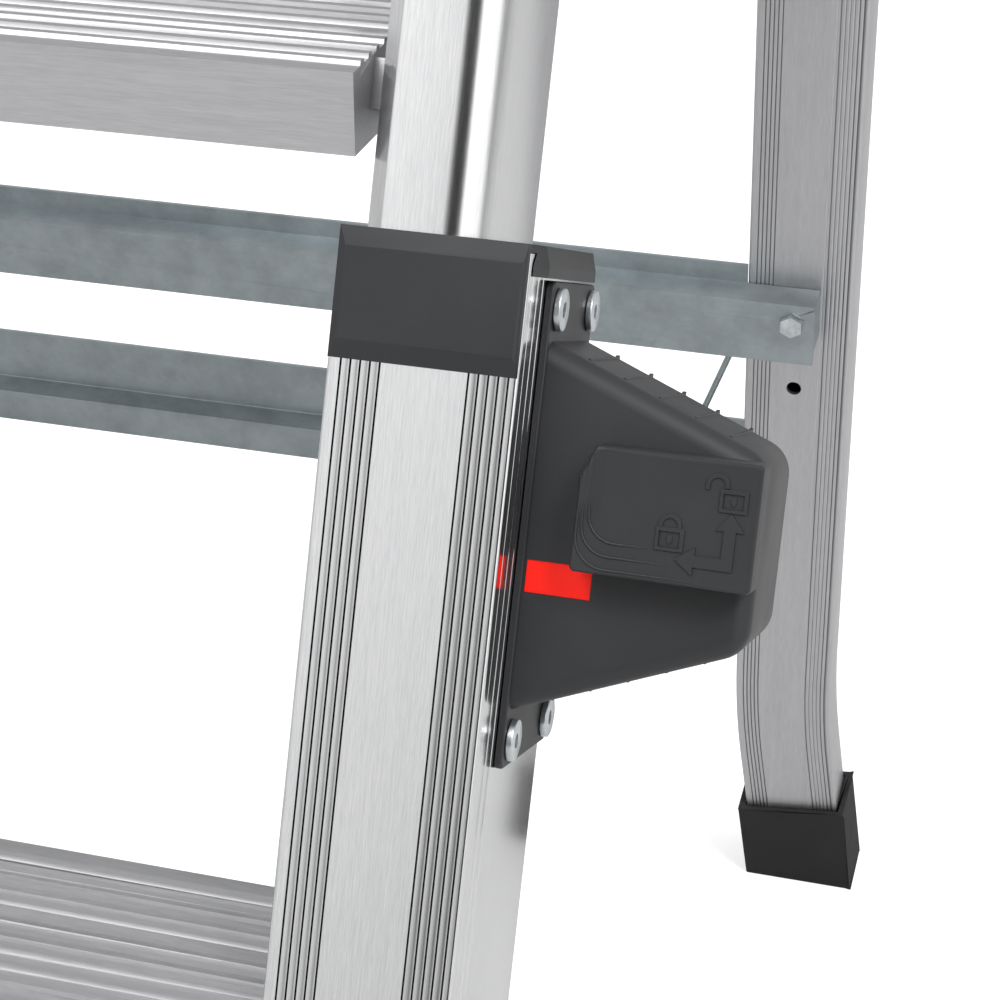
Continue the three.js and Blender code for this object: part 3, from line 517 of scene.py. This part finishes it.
def collar():
    look = collarLook
    low, high = sideBox("collar_right", legAxes)
    left, face, base, top = low[0] + look["inset"], low[1], low[2], high[2]
    tubeLow, tubeHigh = sideBox("leg_tube_right", legAxes)
    stileLow, stileHigh = sideBox("front_stile_right", legAxes)
    back = tubeLow[1] - 0.3
    slope, slopeDepth = look["slope"], look["slopeDepth"]

    def ring(share, right, depth):
        # the panel's outline where its sloped sides have come in by the given share
        return atHeight(rectangle(left + look["leftBevel"] * share, right, base + slope * share,
                                  top - slope * share),
                        depth, 1)
    panel = loft("collar", [ring(0, -0.3, back), ring(0, -0.5, face + slopeDepth),
                            ring(0.7, -0.95, face + 0.3 * slopeDepth), ring(1, -look["facet"][0], face)])

    def plan(inset):
        # the band seen from above, drawn in by the slope of its top
        front, right, rear = face + inset + 0.03, high[0] - inset, high[1] - inset
        facetX, facetDepth = look["facet"]
        return [[left + 5, front], [-facetX + 0.1, front], [right, facetDepth],
                [right, high[1] - look["rearCut"]],
                [right - look["rearCut"], rear], [low[0] + inset, rear], [low[0] + inset, 8], [left + 5, 8]]
    band = loft("band", [atHeight(plan(0), top - look["band"], 2), atHeight(plan(0), top - slope, 2),
                         atHeight(plan(slopeDepth), top, 2)])
    combine(panel, [band], "UNION")
    pocket = block("pocket", low[0] - 1, 0.3, -0.3, tubeHigh[1] + 0.3, base - 2, tubeHigh[2] + 0.3)
    passage = block("passage", stileLow[0] - 0.8, stileHigh[0] + 0.8, stileLow[1] - 0.8, stileHigh[1] + 0.8,
                    base, top + 5)
    combine(panel, [pocket, passage], "DIFFERENCE")
    return soften(panel, look["edge"], 2, 11)


fitPair(collar(), "collar", "collar", legAxes, smooth=24)
print("collars made")

lockLook = {"slope": 0.395, "half": 59, "round": 11, "fillet": 6.5, "wall": 3, "rib": 0.5, "ribHigh": 0.55,
            "ribs": [14, 25.7, 37.2, 48.9, 60.4], "ribStart": 31.5, "bump": 1.0,
            "stem": (24.1, 50.5, -2.9, 18.5), "red": (3.3, 24.2, -19.8, -9.5), "notch": (58, 72.3, -6.5, 20)}


def lockOutline(inset, start, end, middle, steps=8):
    # the housing seen from the front: two sloping faces, a flat end and round corners, drawn in evenly
    look = lockLook
    tilt = math.hypot(1, look["slope"])
    right = end - inset
    round_ = max(look["round"] - inset, 0.5)
    at = lambda x: look["half"] - look["slope"] * x - inset * tilt
    points = [[start, middle - at(start)], [right, middle - at(right)], [right, middle + at(right)],
              [start, middle + at(start)]]
    return roundCorners(points, [0, round_, round_, 0], steps)


def lockHousing():
    look = lockLook
    low, high = sideBox("lock_housing_right", legAxes)
    keyLow = sideBox("status_red_right", legAxes)[0]
    flangeLow, flangeHigh = low[1], high[1]
    middle = (low[2] + high[2]) / 2
    front, back = keyLow[1], 79
    start, end = low[0], high[0]
    turn = np.linspace(0, math.pi / 2, 9)
    insets = look["fillet"] * (1 - np.cos(turn))
    depths = front + look["fillet"] * (1 - np.sin(turn))
    rings = [atHeight(lockOutline(0.8, start, end, middle), back, 1),
             atHeight(lockOutline(0.2, start, end, middle), back - 0.3, 1),
             atHeight(lockOutline(0, start, end, middle), back - 0.9, 1)]
    rings += [atHeight(lockOutline(inset, start, end, middle), depth, 1) for inset,
              depth in zip(insets, depths)]
    body = loft("lockHousing", rings)
    thick = start + 2.3
    flangeLine = roundCorners(rectangle(flangeLow, flangeHigh, low[2], high[2]), [3.2] * 4, 6)
    inner = roundCorners(rectangle(flangeLow + 0.5, flangeHigh - 0.5, low[2] + 0.5, high[2] - 0.5),
                         [2.7] * 4, 6)
    flange = loft("flange", [atHeight(flangeLine, start, 0), atHeight(flangeLine, thick - 0.5, 0),
                             atHeight((flangeLine + inner) / 2, thick - 0.13, 0), atHeight(inner, thick, 0)])
    tools = [flange]
    for place in look["ribs"]:
        for up in (1, -1):
            surface = look["half"] - look["slope"] * place
            line = [[look["ribStart"], surface - 1], [look["ribStart"] + 1.5, surface + 0.35],
                    [back - 3, surface + look["ribHigh"]], [back - 2, surface + look["bump"]],
                    [back - 0.2, surface + look["bump"]],
                    [back - 0.2, surface - 1]]
            outline = [[y, middle + up * z] for y, z in line]
            tools.append(prism("rib", outline, place - look["rib"], place + look["rib"], 0))
    combine(body, tools, "UNION")
    cavity = loft("cavity", [atHeight(lockOutline(look["wall"], -1, end, middle),
                                      front + look["wall"] + 2, 1),
                             atHeight(lockOutline(look["wall"], -1, end, middle), back - look["wall"], 1)])
    x0, x1, z0, z1 = look["stem"]
    opening = block("opening", x0, x1, front - 1, front + look["wall"] + 4, middle + z0, middle + z1)
    x0, x1, z0, z1 = look["red"]
    pocket = block("pocket", x0, x1, front - 1, front + 1, middle + z0, middle + z1)
    x0, x1, z0, z1 = look["notch"]
    notch = block("notch", x0, x1, front - 1, front + 2.2, middle + z0, middle + z1)
    bores = [lathe("bore", [(3.2, -1), (3.2, 5)], 0, (0, y, z), 24) for y, z in rivetPlaces()]
    return combine(body, [cavity, opening, pocket, notch, *bores], "DIFFERENCE")


def rivetPlaces():
    out = []
    for level in ("upper", "lower"):
        for row in ("front", "rear"):
            low, high = sideBox(f"rivet_{level}_{row}_right", legAxes)
            out.append((low + high)[1:] / 2)
    return out


fitPair(lockHousing(), "lockHousing", "lock_housing", legAxes, smooth=24)
print("lock housings made")


def field(stem, name, inset):
    # a coloured field let into the housing, its face a little below the housing's
    low, high = sideBox(stem + "_right", legAxes)
    piece = block(name, low[0], high[0], low[1] + inset, high[1] + inset, low[2], high[2])
    fitPair(soften(piece, 0.12, 1), name, stem, legAxes)


field("status_red", "redField", 0.25)
field("status_green", "greenField", 0.3)

rivetLook = {"bore": 2.35, "edge": 0.7, "tail": 4.2}


def rivet(stem, name):
    # blind rivet: flat head with a turned edge, the broken-off mandrel's hole, shank and set tail
    low, high = sideBox(stem + "_right", legAxes)
    radius = (high[1] - low[1]) / 2
    centre = (0, (low[1] + high[1]) / 2, (low[2] + high[2]) / 2)
    top = high[0]
    edge = rivetLook["edge"]
    turn = np.linspace(0, math.pi / 2, 5)
    rim = [(radius - edge * 0.5 * (1 - math.cos(t)), top - edge + edge * math.sin(t) * 0.92) for t in turn]
    profile = [(0.01, low[0]), (rivetLook["tail"], low[0]), (rivetLook["tail"], -2.8), (2.9, -2.8),
               (2.9, top - 2),
               (radius - 0.15, top - 2), (radius, top - 1.85), *rim, (rivetLook["bore"] + 0.25, top),
               (rivetLook["bore"], top - 0.2), (rivetLook["bore"] - 0.1, top - 2.6), (1.9,
                                                            top - 3.0), (0.01, top - 3.2)]
    fitPair(lathe(name, profile, 0, centre, 48), name, stem, legAxes)


for level in ("upper", "lower"):
    for row in ("front", "rear"):
        rivet(f"rivet_{level}_{row}", "rivet" + level.title() + row.title())
print("rivets made")

pedalLook = {"edge": 1.9, "main": 0.55, "relief": 0.6, "chamfer": (4.3, 10),
             "ridges": [(24.0, 26.8, 0.4, 42.3, 8.6), (22.1, 24.5, -3.8, 49.5, 9.0),
                        (20.6, 20.2, -7.8, 56.8, 9.6)],
             "ridge": (0.55, 0.5), "lock": (44.8, 53.5, 0.5, 7.6), "open": (62.8, 71.4, 14.1, 21.0)}


def pedalShape():
    look = pedalLook
    low, high = sideBox("lock_pedal_right", legAxes)
    middle = lockMiddle
    cutX, cutZ = look["chamfer"]
    bottom, top = low[2] - middle, high[2] - middle
    left, right = low[0], high[0]
    front, back = low[1], sideBox("status_red_right", legAxes)[0][1] - 0.4
    corners = [[left, bottom], [right, bottom], [right, top], [left + cutX, top], [left, top - cutZ]]
    outline = roundCorners(corners, [1.6, 1.6, 1.6, 1.2, 1.2], 6)
    # the outline again with evenly spread points, so that the face can carry its fine shape
    closed = np.vstack([outline, outline[:1]])
    length = np.concatenate([[0], np.cumsum(np.linalg.norm(np.diff(closed, axis=0), axis=1))])
    spread = np.unique(np.concatenate([np.linspace(0, length[-1], 150, endpoint=False), length[:-1]]))
    outline = np.stack([np.interp(spread, length, closed[:, k]) for k in (0, 1)], -1)
    centre = np.array([(left + right) / 2 + 1, (bottom + top) / 2 - 1])

    def face(points):
        # the face lies a little below the raised left border, which dies out towards the ridges' bend
        x, z = points[:, 0], points[:, 1]
        reach = 3.2 + 1.6 * np.clip((12 - z) / 8, 0, 1)
        slope = np.clip((x - 24.3) / reach, 0, 1)
        fade = np.clip((z - 5) / 9, 0, 1)
        smooth = lambda t: t * t * (3 - 2 * t)
        return front + look["main"] * (1 - (1 - smooth(slope)) * smooth(fade))
    rings = [atHeight(outline, back, 1)]
    toCentre = centre - outline
    size = np.linalg.norm(toCentre, axis=1, keepdims=True)
    turn = np.linspace(0, math.pi / 2, 6)
    for t in turn:
        inset = look["edge"] * (1 - math.cos(t))
        points = outline + toCentre / size * inset
        depth = front + look["main"] * 0.5 + look["edge"] * (1 - math.sin(t))
        share = math.sin(t) ** 3
        rings.append(np.stack([points[:, 0], depth * (1 - share) + share * face(points), points[:, 1]], -1))
    start = outline + toCentre / size * look["edge"]
    for share in np.linspace(0, 0.985, 26)[1:]:
        points = start + (centre - start) * share
        rings.append(np.stack([points[:, 0], face(points), points[:, 1]], -1))
    rings = np.array(rings)
    rings[..., 2] += middle
    stemLow = sideBox("pedal_keeper_right", legAxes)
    body = loft("lockPedal", rings)
    x0, x1 = stemLow[0][0] + 5, stemLow[1][0] - 5
    z0, z1 = stemLow[0][2] + 5, stemLow[1][2] - 5
    stem = block("stem", x0, x1, back - 1, stemLow[0][1] - 0.3, z0, z1)
    return combine(body, [stem], "UNION"), front + look["main"]


def raised(outline, face, high, bevel=0.12):
    # an outline standing proud of the face by high, with a small bevel round its top
    edge = np.roll(outline, -1, 0) - np.roll(outline, 1, 0)
    normal = np.stack([edge[:, 1], -edge[:, 0]], -1)
    normal /= np.linalg.norm(normal, axis=1, keepdims=True)
    inner = outline - normal * bevel
    rings = [atHeight(outline, face + 0.5, 1), atHeight(outline, face - high + bevel, 1),
             atHeight(inner, face - high, 1)]
    return rings


def frameRings(outer, inner, face, high, bevel=0.12):
    # a closed band between two outlines of equal count, standing proud of the face
    rings = raised(outer, face, high, bevel) + raised(inner, face, high, -bevel)[::-1]
    return rings


def padlock(place, face, high, middle, isOpen):
    # a raised padlock sign: body frame, keyhole and shackle
    x0, x1, z0, z1 = place
    rim = 1.15
    body = roundCorners(rectangle(x0, x1, z0, z1), [0.5] * 4, 3)
    window = roundCorners(rectangle(x0 + rim, x1 - rim, z0 + rim, z1 - rim), [0.2] * 4, 3)
    out = [(frameRings(body, window, face, high), True)]
    turn = np.linspace(0, 2 * math.pi, 17)[:-1]
    cx, cz = (x0 + x1) / 2, (z0 + z1) / 2 + 0.5
    key = np.stack([cx + 0.95 * np.cos(turn),
                    cz + np.where(np.sin(turn) < -0.3, 1.9, 0.95) * np.sin(turn)], -1)
    out.append((raised(key, face, high * 0.8), False))
    outerR, innerR = 3.55, 2.3
    arc = np.linspace(0, math.pi, 15)
    if isOpen:
        sx, sz, foot = x0 - 1.0, z1 + 0.9, -0.7
    else:
        sx, sz, foot = cx - 0.2, z1 + 0.5, 0
    outer = np.stack([sx + outerR * np.cos(arc), sz + outerR * np.sin(arc)], -1)
    inner = np.stack([sx + innerR * np.cos(arc[::-1]), sz + innerR * np.sin(arc[::-1])], -1)
    leftFoot = [[sx - outerR, sz - 0.6 + foot * 1.4], [sx - innerR, sz - 0.6 + foot * 1.4]]
    rightFoot = [[sx + innerR, sz - 0.7], [sx + outerR, sz - 0.7]]
    out.append((raised(np.concatenate([outer, leftFoot, inner, rightFoot]), face, high), False))
    return out


def arrowSign():
    # one arrow up and one to the left from a shared corner
    return np.array([[67.0, 14.0], [62.7, 8.6], [65.1, 8.6], [65.1, 0.2], [57.2, 0.2], [57.2, 2.7],
                     [51.3, -1.6],
                     [57.0, -6.0], [57.0, -3.4], [68.8, -3.4], [68.8, 8.6], [71.3, 8.6]])


def ridgeRings(ridge, face):
    # half-round ridge: down from its top end, round a bend and along to its right end
    x, top, bottom, right, radius = ridge
    width, high = pedalLook["ridge"]
    turn = np.linspace(math.pi, 1.5 * math.pi, 15)
    bend = np.stack([x + radius + radius * np.cos(turn), bottom + radius + radius * np.sin(turn)], -1)
    path = np.concatenate([[[x, top]], bend, [[right, bottom]]])
    along = np.gradient(path, axis=0)
    along /= np.linalg.norm(along, axis=1, keepdims=True)
    side = np.stack([-along[:, 1], along[:, 0]], -1)
    section = np.linspace(0, math.pi, 7)
    rings = []
    for k in range(len(path)):
        taper = 0.35 if k in (0, len(path) - 1) else 1.0
        offset = width * np.cos(section)[:, None] * side[k] * taper
        depth = face(path[k:k + 1])[0] + 0.3 - (high * taper + 0.3) * np.sin(section)
        ring = path[k] + offset
        rings.append(np.stack([ring[:, 0], depth, ring[:, 1]], -1))
    return rings


lockMiddle = (sideBox("lock_housing_right", legAxes)[0][2] + sideBox("lock_housing_right", legAxes)[1][2]) / 2


def pedal():
    look = pedalLook
    body, face = pedalShape()
    high = look["relief"]
    raisedShapes = [(raised(arrowSign(), face, high), False)]
    raisedShapes += padlock(look["lock"], face, high, lockMiddle, False)
    raisedShapes += padlock(look["open"], face, high, lockMiddle, True)
    tools = []
    for rings, loop in raisedShapes:
        tools.append(loft("sign", np.array(rings), loop))
    flat = lambda points: face - look["main"] * np.clip((points[:, 1] - 5) / 9, 0, 1) * (points[:, 0] < 25)
    for ridge in look["ridges"]:
        tools.append(loft("ridge", ridgeRings(ridge, flat)))
    for tool in tools:
        points = np.zeros(len(tool.data.vertices) * 3)
        tool.data.vertices.foreach_get("co", points)
        points = points.reshape(-1, 3)
        points[:, 2] += lockMiddle
        tool.data.vertices.foreach_set("co", points.ravel())
    return combine(body, tools, "UNION")


fitPair(pedal(), "lockPedal", "lock_pedal", legAxes, smooth=28)
print("pedals made")

# ---- stiles ----

stileLook = {"bevel": 6, "round": 13.4, "wall": 2.2}


def frontStile():
    look = stileLook
    low, high = sideBox("front_stile_right", legAxes)

    def outline(inset):
        left, right, front, back = low[0] + inset, high[0] - inset, low[1] + inset, high[1] - inset
        bevel = look["bevel"] - 0.6 * inset
        return roundCorners([[left + bevel, front], [right, front], [right, back], [left, back],
                             [left, front + bevel]],
                            [1.0, look["round"] - inset, 1.4, 1.4, 0.8], 12)
    outer, inner = outline(0), outline(look["wall"])
    rings = [atHeight(outer, low[2], 2), atHeight(outer, high[2], 2), atHeight(inner, high[2], 2),
             atHeight(inner, low[2], 2)]
    return loft("frontStile", rings, True)


fitPair(frontStile(), "frontStile", "front_stile", legAxes, smooth=20)

rearLook = {"wall": 2.2, "corner": 1.5, "left": 5, "right": 6, "pitch": 1.9, "groove": 0.28,
            "flareStart": 906,
            "flareRadius": 480, "flareTurn": math.radians(7), "hole": (-731, 3.5)}


def rearStile():
    look = rearLook
    low, high = sideBox("rear_stile_right", rearAxes)
    start = low[0]
    width = 48.5
    depth = high[1] - low[1]
    a, b = width / 2, depth / 2

    def outline(inset, fine):
        x, y = a - inset, b - inset
        corners = roundCorners(rectangle(-x, x, -y, y), [look["corner"]] * 4, 4)
        if not fine:
            return corners
        steps = np.linspace(-x + 3, x - 2.5, 160)
        leftEnd = -x + 3 + look["left"] * look["pitch"]
        rightStart = x - 2.5 - look["right"] * look["pitch"]
        wave = np.clip(np.cos(2 * math.pi * (steps + x - 3) / look["pitch"] + math.pi), 0.2, 1) - 0.2
        ridged = np.where((steps < leftEnd) | (steps > rightStart), wave, 0) * look["groove"]
        front = np.stack([steps, -y + ridged], -1)
        half = 5
        return np.concatenate([corners[:half], front, corners[half:]])

    def stations(endCut):
        # straight run, an arc that turns outwards, and a straight end
        turn = look["flareTurn"] * np.linspace(0, 1, 13)
        x = np.concatenate([[0], look["flareRadius"] * (1 - np.cos(turn))])
        z = np.concatenate([[high[2]], -look["flareStart"] - look["flareRadius"] * np.sin(turn)])
        angle = np.concatenate([[0], turn])
        rest = (z[-1] - low[2] - endCut) / math.cos(angle[-1])
        x = np.append(x, x[-1] + rest * math.sin(angle[-1]))
        z = np.append(z, z[-1] - rest * math.cos(angle[-1]))
        return x, z, np.append(angle, angle[-1])

    def swept(section):
        x, z, angle = stations(4)
        c, s = np.cos(angle)[:, None], np.sin(angle)[:, None]
        return np.stack([start + a + x[:, None] + section[:, 0] * c,
                         np.broadcast_to(section[:, 1], (len(x), len(section))),
                         z[:, None] + section[:, 0] * s], -1)
    outer = loft("rearStile", swept(outline(0, True)))
    inner = swept(outline(look["wall"], False))
    inner[0, :, 2] += 5
    inner[-1, :, 2] -= 5
    place, radius = look["hole"]
    hole = lathe("hole", [(radius, -b - 3), (radius, -b + 5)], 1, (start + a - 1, 0, place), 32)
    combine(outer, [loft("inside", inner), hole], "DIFFERENCE")
    # painted shade: points in the valleys of the front ribs are marked for the dark groove colour
    level = pointsOf(outer)[:, 1] + b
    return paintedGrooveShade(outer, (level > 0.45 * look["groove"]) & (level < 1.2 * look["groove"]))


fitPair(rearStile(), "rearStile", "rear_stile", rearAxes, smooth=24)
print("stiles made")

# ---- safety bow ----

bowLook = {"radius": 15, "wall": 1.6, "bend": 80, "sides": 36}


def safetyBow():
    look = bowLook
    low, high = localBox("safety_bow", legAxes)
    half = high[0] - look["radius"]
    top = high[2] - look["radius"]
    depth = (low[1] + high[1]) / 2
    turn = np.linspace(0, math.pi / 2, 17)
    bend = look["bend"]
    x = np.concatenate([[-half], -half + bend * (1 - np.cos(turn)), half - bend * (1 - np.sin(turn)), [half]])
    z = np.concatenate([[low[2]], top - bend + bend * np.sin(turn), top - bend + bend * np.cos(turn),
                        [low[2]]])
    angle = np.concatenate([[0], -turn, -math.pi / 2 - turn, [-math.pi]])
    around = np.linspace(0, 2 * math.pi, look["sides"], endpoint=False)

    def tube(radius):
        side = radius * np.cos(around)
        return np.stack([x[:, None] + side * np.cos(angle)[:, None],
                         np.broadcast_to(depth + radius * np.sin(around), (len(x), len(around))),
                         z[:, None] + side * np.sin(angle)[:, None]], -1)
    rings = np.concatenate([tube(look["radius"]), tube(look["radius"] - look["wall"])[::-1]])
    return loft("safetyBow", rings, True)


fit(safetyBow(), "safetyBow", "safety_bow", legAxes, 0, "brushed_aluminium", smooth=30)
print("bow made")

# ---- pieces that keep the frame's shape, with softened edges ----

softenLook = {
    "stile_guide": (legAxes, 0.6), "head_bracket": (legAxes, 1.2), "hinge_pin": (legAxes, 0.5),
    "platform_pin": (legAxes, 0.4), "leg_foot": (legAxes, 1.5), "pedal_keeper": (legAxes, 0.3),
    "pedal_carrier": (legAxes, 0.15), "clamp_lever": (legAxes, 0.5), "lever_pin": (legAxes, 0.3),
    "clamp_shoe": (legAxes, 0.6), "rear_foot": (rearAxes, 1.0), "stay_rod": (rearAxes, 0.3),
    "brace_bolt": (rearAxes, 0.4)}
for stem, (axes, width) in softenLook.items():
    words = stem.split("_")
    name = words[0] + "".join(word.title() for word in words[1:])
    fitPair(soften(copyOfNode(stem + "_right", axes, True), width), name, stem, axes)

singleLook = {"tread_1": (plainAxes, 0.35, "across_aluminium"),
              "tread_2": (plainAxes, 0.35, "across_aluminium"),
              "tread_3": (plainAxes, 0.35, "across_aluminium"), "platform": (plainAxes, 0.4,
                                                            "across_aluminium"),
              "upper_brace": (rearAxes, 0.8, None), "lower_brace": (rearAxes, 0.5, None),
              "cross_rail": (rearAxes, 0.4, "across_aluminium")}
for node, (axes, width, material) in singleLook.items():
    words = node.split("_")
    name = words[0] + "".join(word.title() for word in words[1:])
    fit(soften(copyOfNode(node, axes), width), name, node, axes, 0, material)
print("softened pieces made")

# ---- floor, light and camera ----

stageLook = {"floor": 9.0, "floorTone": "cdcdcd", "shine": 0.55, "mirrored": 0.0, "height": (0.72, 1.5)}
# brightness of the studio by degrees round from the climbing side, towards +X:
# panels, a dark flag and a soft box
studioWalls = [(-180, 0.55), (-125, 0.6), (-112, 1.0), (-95, 1.0), (-80, 0.8), (-18, 1.0), (-11, 0.85),
               (-2, 0.12),
               (4, 0.04), (26, 0.04), (33, 0.4), (39, 1.5), (84, 1.5), (96, 0.6), (180, 0.55)]


def shownTone(material, base, strength, mirrored):
    # a plain pale surface that is lit like any other, and brighter to the camera and in reflections
    path = addNode(material, "LightPath")
    seen = addNode(material, "Math", {"operation": "MAXIMUM"}, i0=path.outputs["Is Camera Ray"],
                   i1=path.outputs["Is Transmission Ray"])
    glow = addNode(material, "Math", {"operation": "MULTIPLY"}, i0=seen.outputs[0], i1=strength)
    glow = addNode(material, "Math", {"operation": "MULTIPLY_ADD"}, i0=path.outputs["Is Glossy Ray"],
                   i1=mirrored,
                   i2=glow.outputs[0])
    lit = addNode(material, "BsdfDiffuse", None, Color=base)
    extra = addNode(material, "Emission", None, Color=(1, 1, 1, 1), Strength=glow.outputs[0])
    return addNode(material, "AddShader", None, i0=lit.outputs[0], i1=extra.outputs[0])


def makeFloor():
    look = stageLook
    material = newMaterial("studioFloor")
    finishMaterial(material, shownTone(material, colour(look["floorTone"]), look["shine"], look["mirrored"]))
    size = look["floor"]
    points = [[-size, -size, 0], [size, -size, 0], [size, size, 0], [-size, size, 0]]
    floor = asPiece("studioFloor", np.array(points), [[0, 1, 2, 3]])
    floor.data.materials.append(material)


def makeSky():
    world = bpy.data.worlds.new("studio")
    world.use_nodes = True
    bpy.context.scene.world = world
    world.node_tree.nodes.clear()
    path = addNode(world, "LightPath")
    way = addNode(world, "SeparateXYZ", None, Vector=addNode(world, "TexCoord").outputs["Generated"])
    ahead = addNode(world, "Math", {"operation": "MULTIPLY"}, i0=way.outputs[1], i1=-1.0)
    turn = addNode(world, "Math", {"operation": "ARCTAN2"}, i0=way.outputs[0], i1=ahead.outputs[0])
    share = addNode(world, "MapRange", None, Value=turn.outputs[0], From_Min=-math.pi, From_Max=math.pi)
    brightest = max(value for _, value in studioWalls)
    tones = [((degrees + 180) / 360, [value / brightest] * 3 + [1]) for degrees, value in studioWalls]
    wall = addNode(world, "Math", {"operation": "MULTIPLY"}, i0=ramp(world, share.outputs[0], tones),
                   i1=brightest)
    lift = addNode(world, "MapRange", None, Value=way.outputs[2], From_Min=-0.1, From_Max=0.9,
                   To_Min=stageLook["height"][0], To_Max=stageLook["height"][1])
    wall = addNode(world, "Math", {"operation": "MULTIPLY"}, i0=wall.outputs[0], i1=lift.outputs[0])
    tone = addNode(world, "Math", {"operation": "MAXIMUM"}, i0=wall.outputs[0],
                   i1=path.outputs["Is Camera Ray"])
    background = addNode(world, "Background", None, Color=(1, 1, 1, 1), Strength=tone.outputs[0])
    output = world.node_tree.nodes.new("ShaderNodeOutputWorld")
    world.node_tree.links.new(background.outputs[0], output.inputs[0])


lampLook = {
    "keyLamp": {"at": (1.6, -1.2, 2.6), "aim": (0.2, -0.1, 0.5), "size": (0.7, 0.7), "power": 40},
    "fillLamp": {"at": (-0.6, -1.6, 2.8), "aim": (0.2, -0.2, 0.5), "size": (1.2, 1.2), "power": 24}}


def makeLamps():
    for name, look in lampLook.items():
        data = bpy.data.lights.new(name, "AREA")
        data.shape = "RECTANGLE"
        data.size, data.size_y = look["size"]
        data.energy = look["power"]
        lamp = bpy.data.objects.new(name, data)
        lamp.location = look["at"]
        lamp.rotation_euler = (Vector(look["aim"]) - Vector(look["at"])).to_track_quat("-Z", "Y").to_euler()
        bpy.context.scene.collection.objects.link(lamp)


cameraLook = {"at": (163.5, -684.7, 565.7), "ahead": (-0.23323, 0.96756, -0.09714),
              "right": (0.96393, 0.24321, 0.10815),
              "lens": 85.2, "sensor": 36}


def makeCamera():
    # place and directions are given across, into depth and up along the right leg,
    # from its outer front corner
    look = cameraLook
    turn = np.stack(legAxes[1:])
    place = legAxes[0] + (np.array(look["at"]) + [halfWidth, 0, 0]) @ turn
    ahead = np.array(look["ahead"]) @ turn
    right = np.array(look["right"]) @ turn
    right -= ahead * (right @ ahead)
    right /= np.linalg.norm(right)
    up = np.cross(right, ahead)
    data = bpy.data.cameras.new("studioCamera")
    data.lens = look["lens"]
    data.sensor_width = look["sensor"]
    data.clip_start = 0.01
    camera = bpy.data.objects.new("studioCamera", data)
    camera.matrix_world = Matrix([[right[k], up[k], -ahead[k], place[k] * mm] for k in range(3)] + [[0,
                                                            0, 0, 1]])
    bpy.context.scene.collection.objects.link(camera)
    bpy.context.scene.camera = camera


makeFloor()
makeSky()
makeLamps()
makeCamera()
bpy.context.scene.view_settings.view_transform = "Standard"
print("floor, light and camera made")
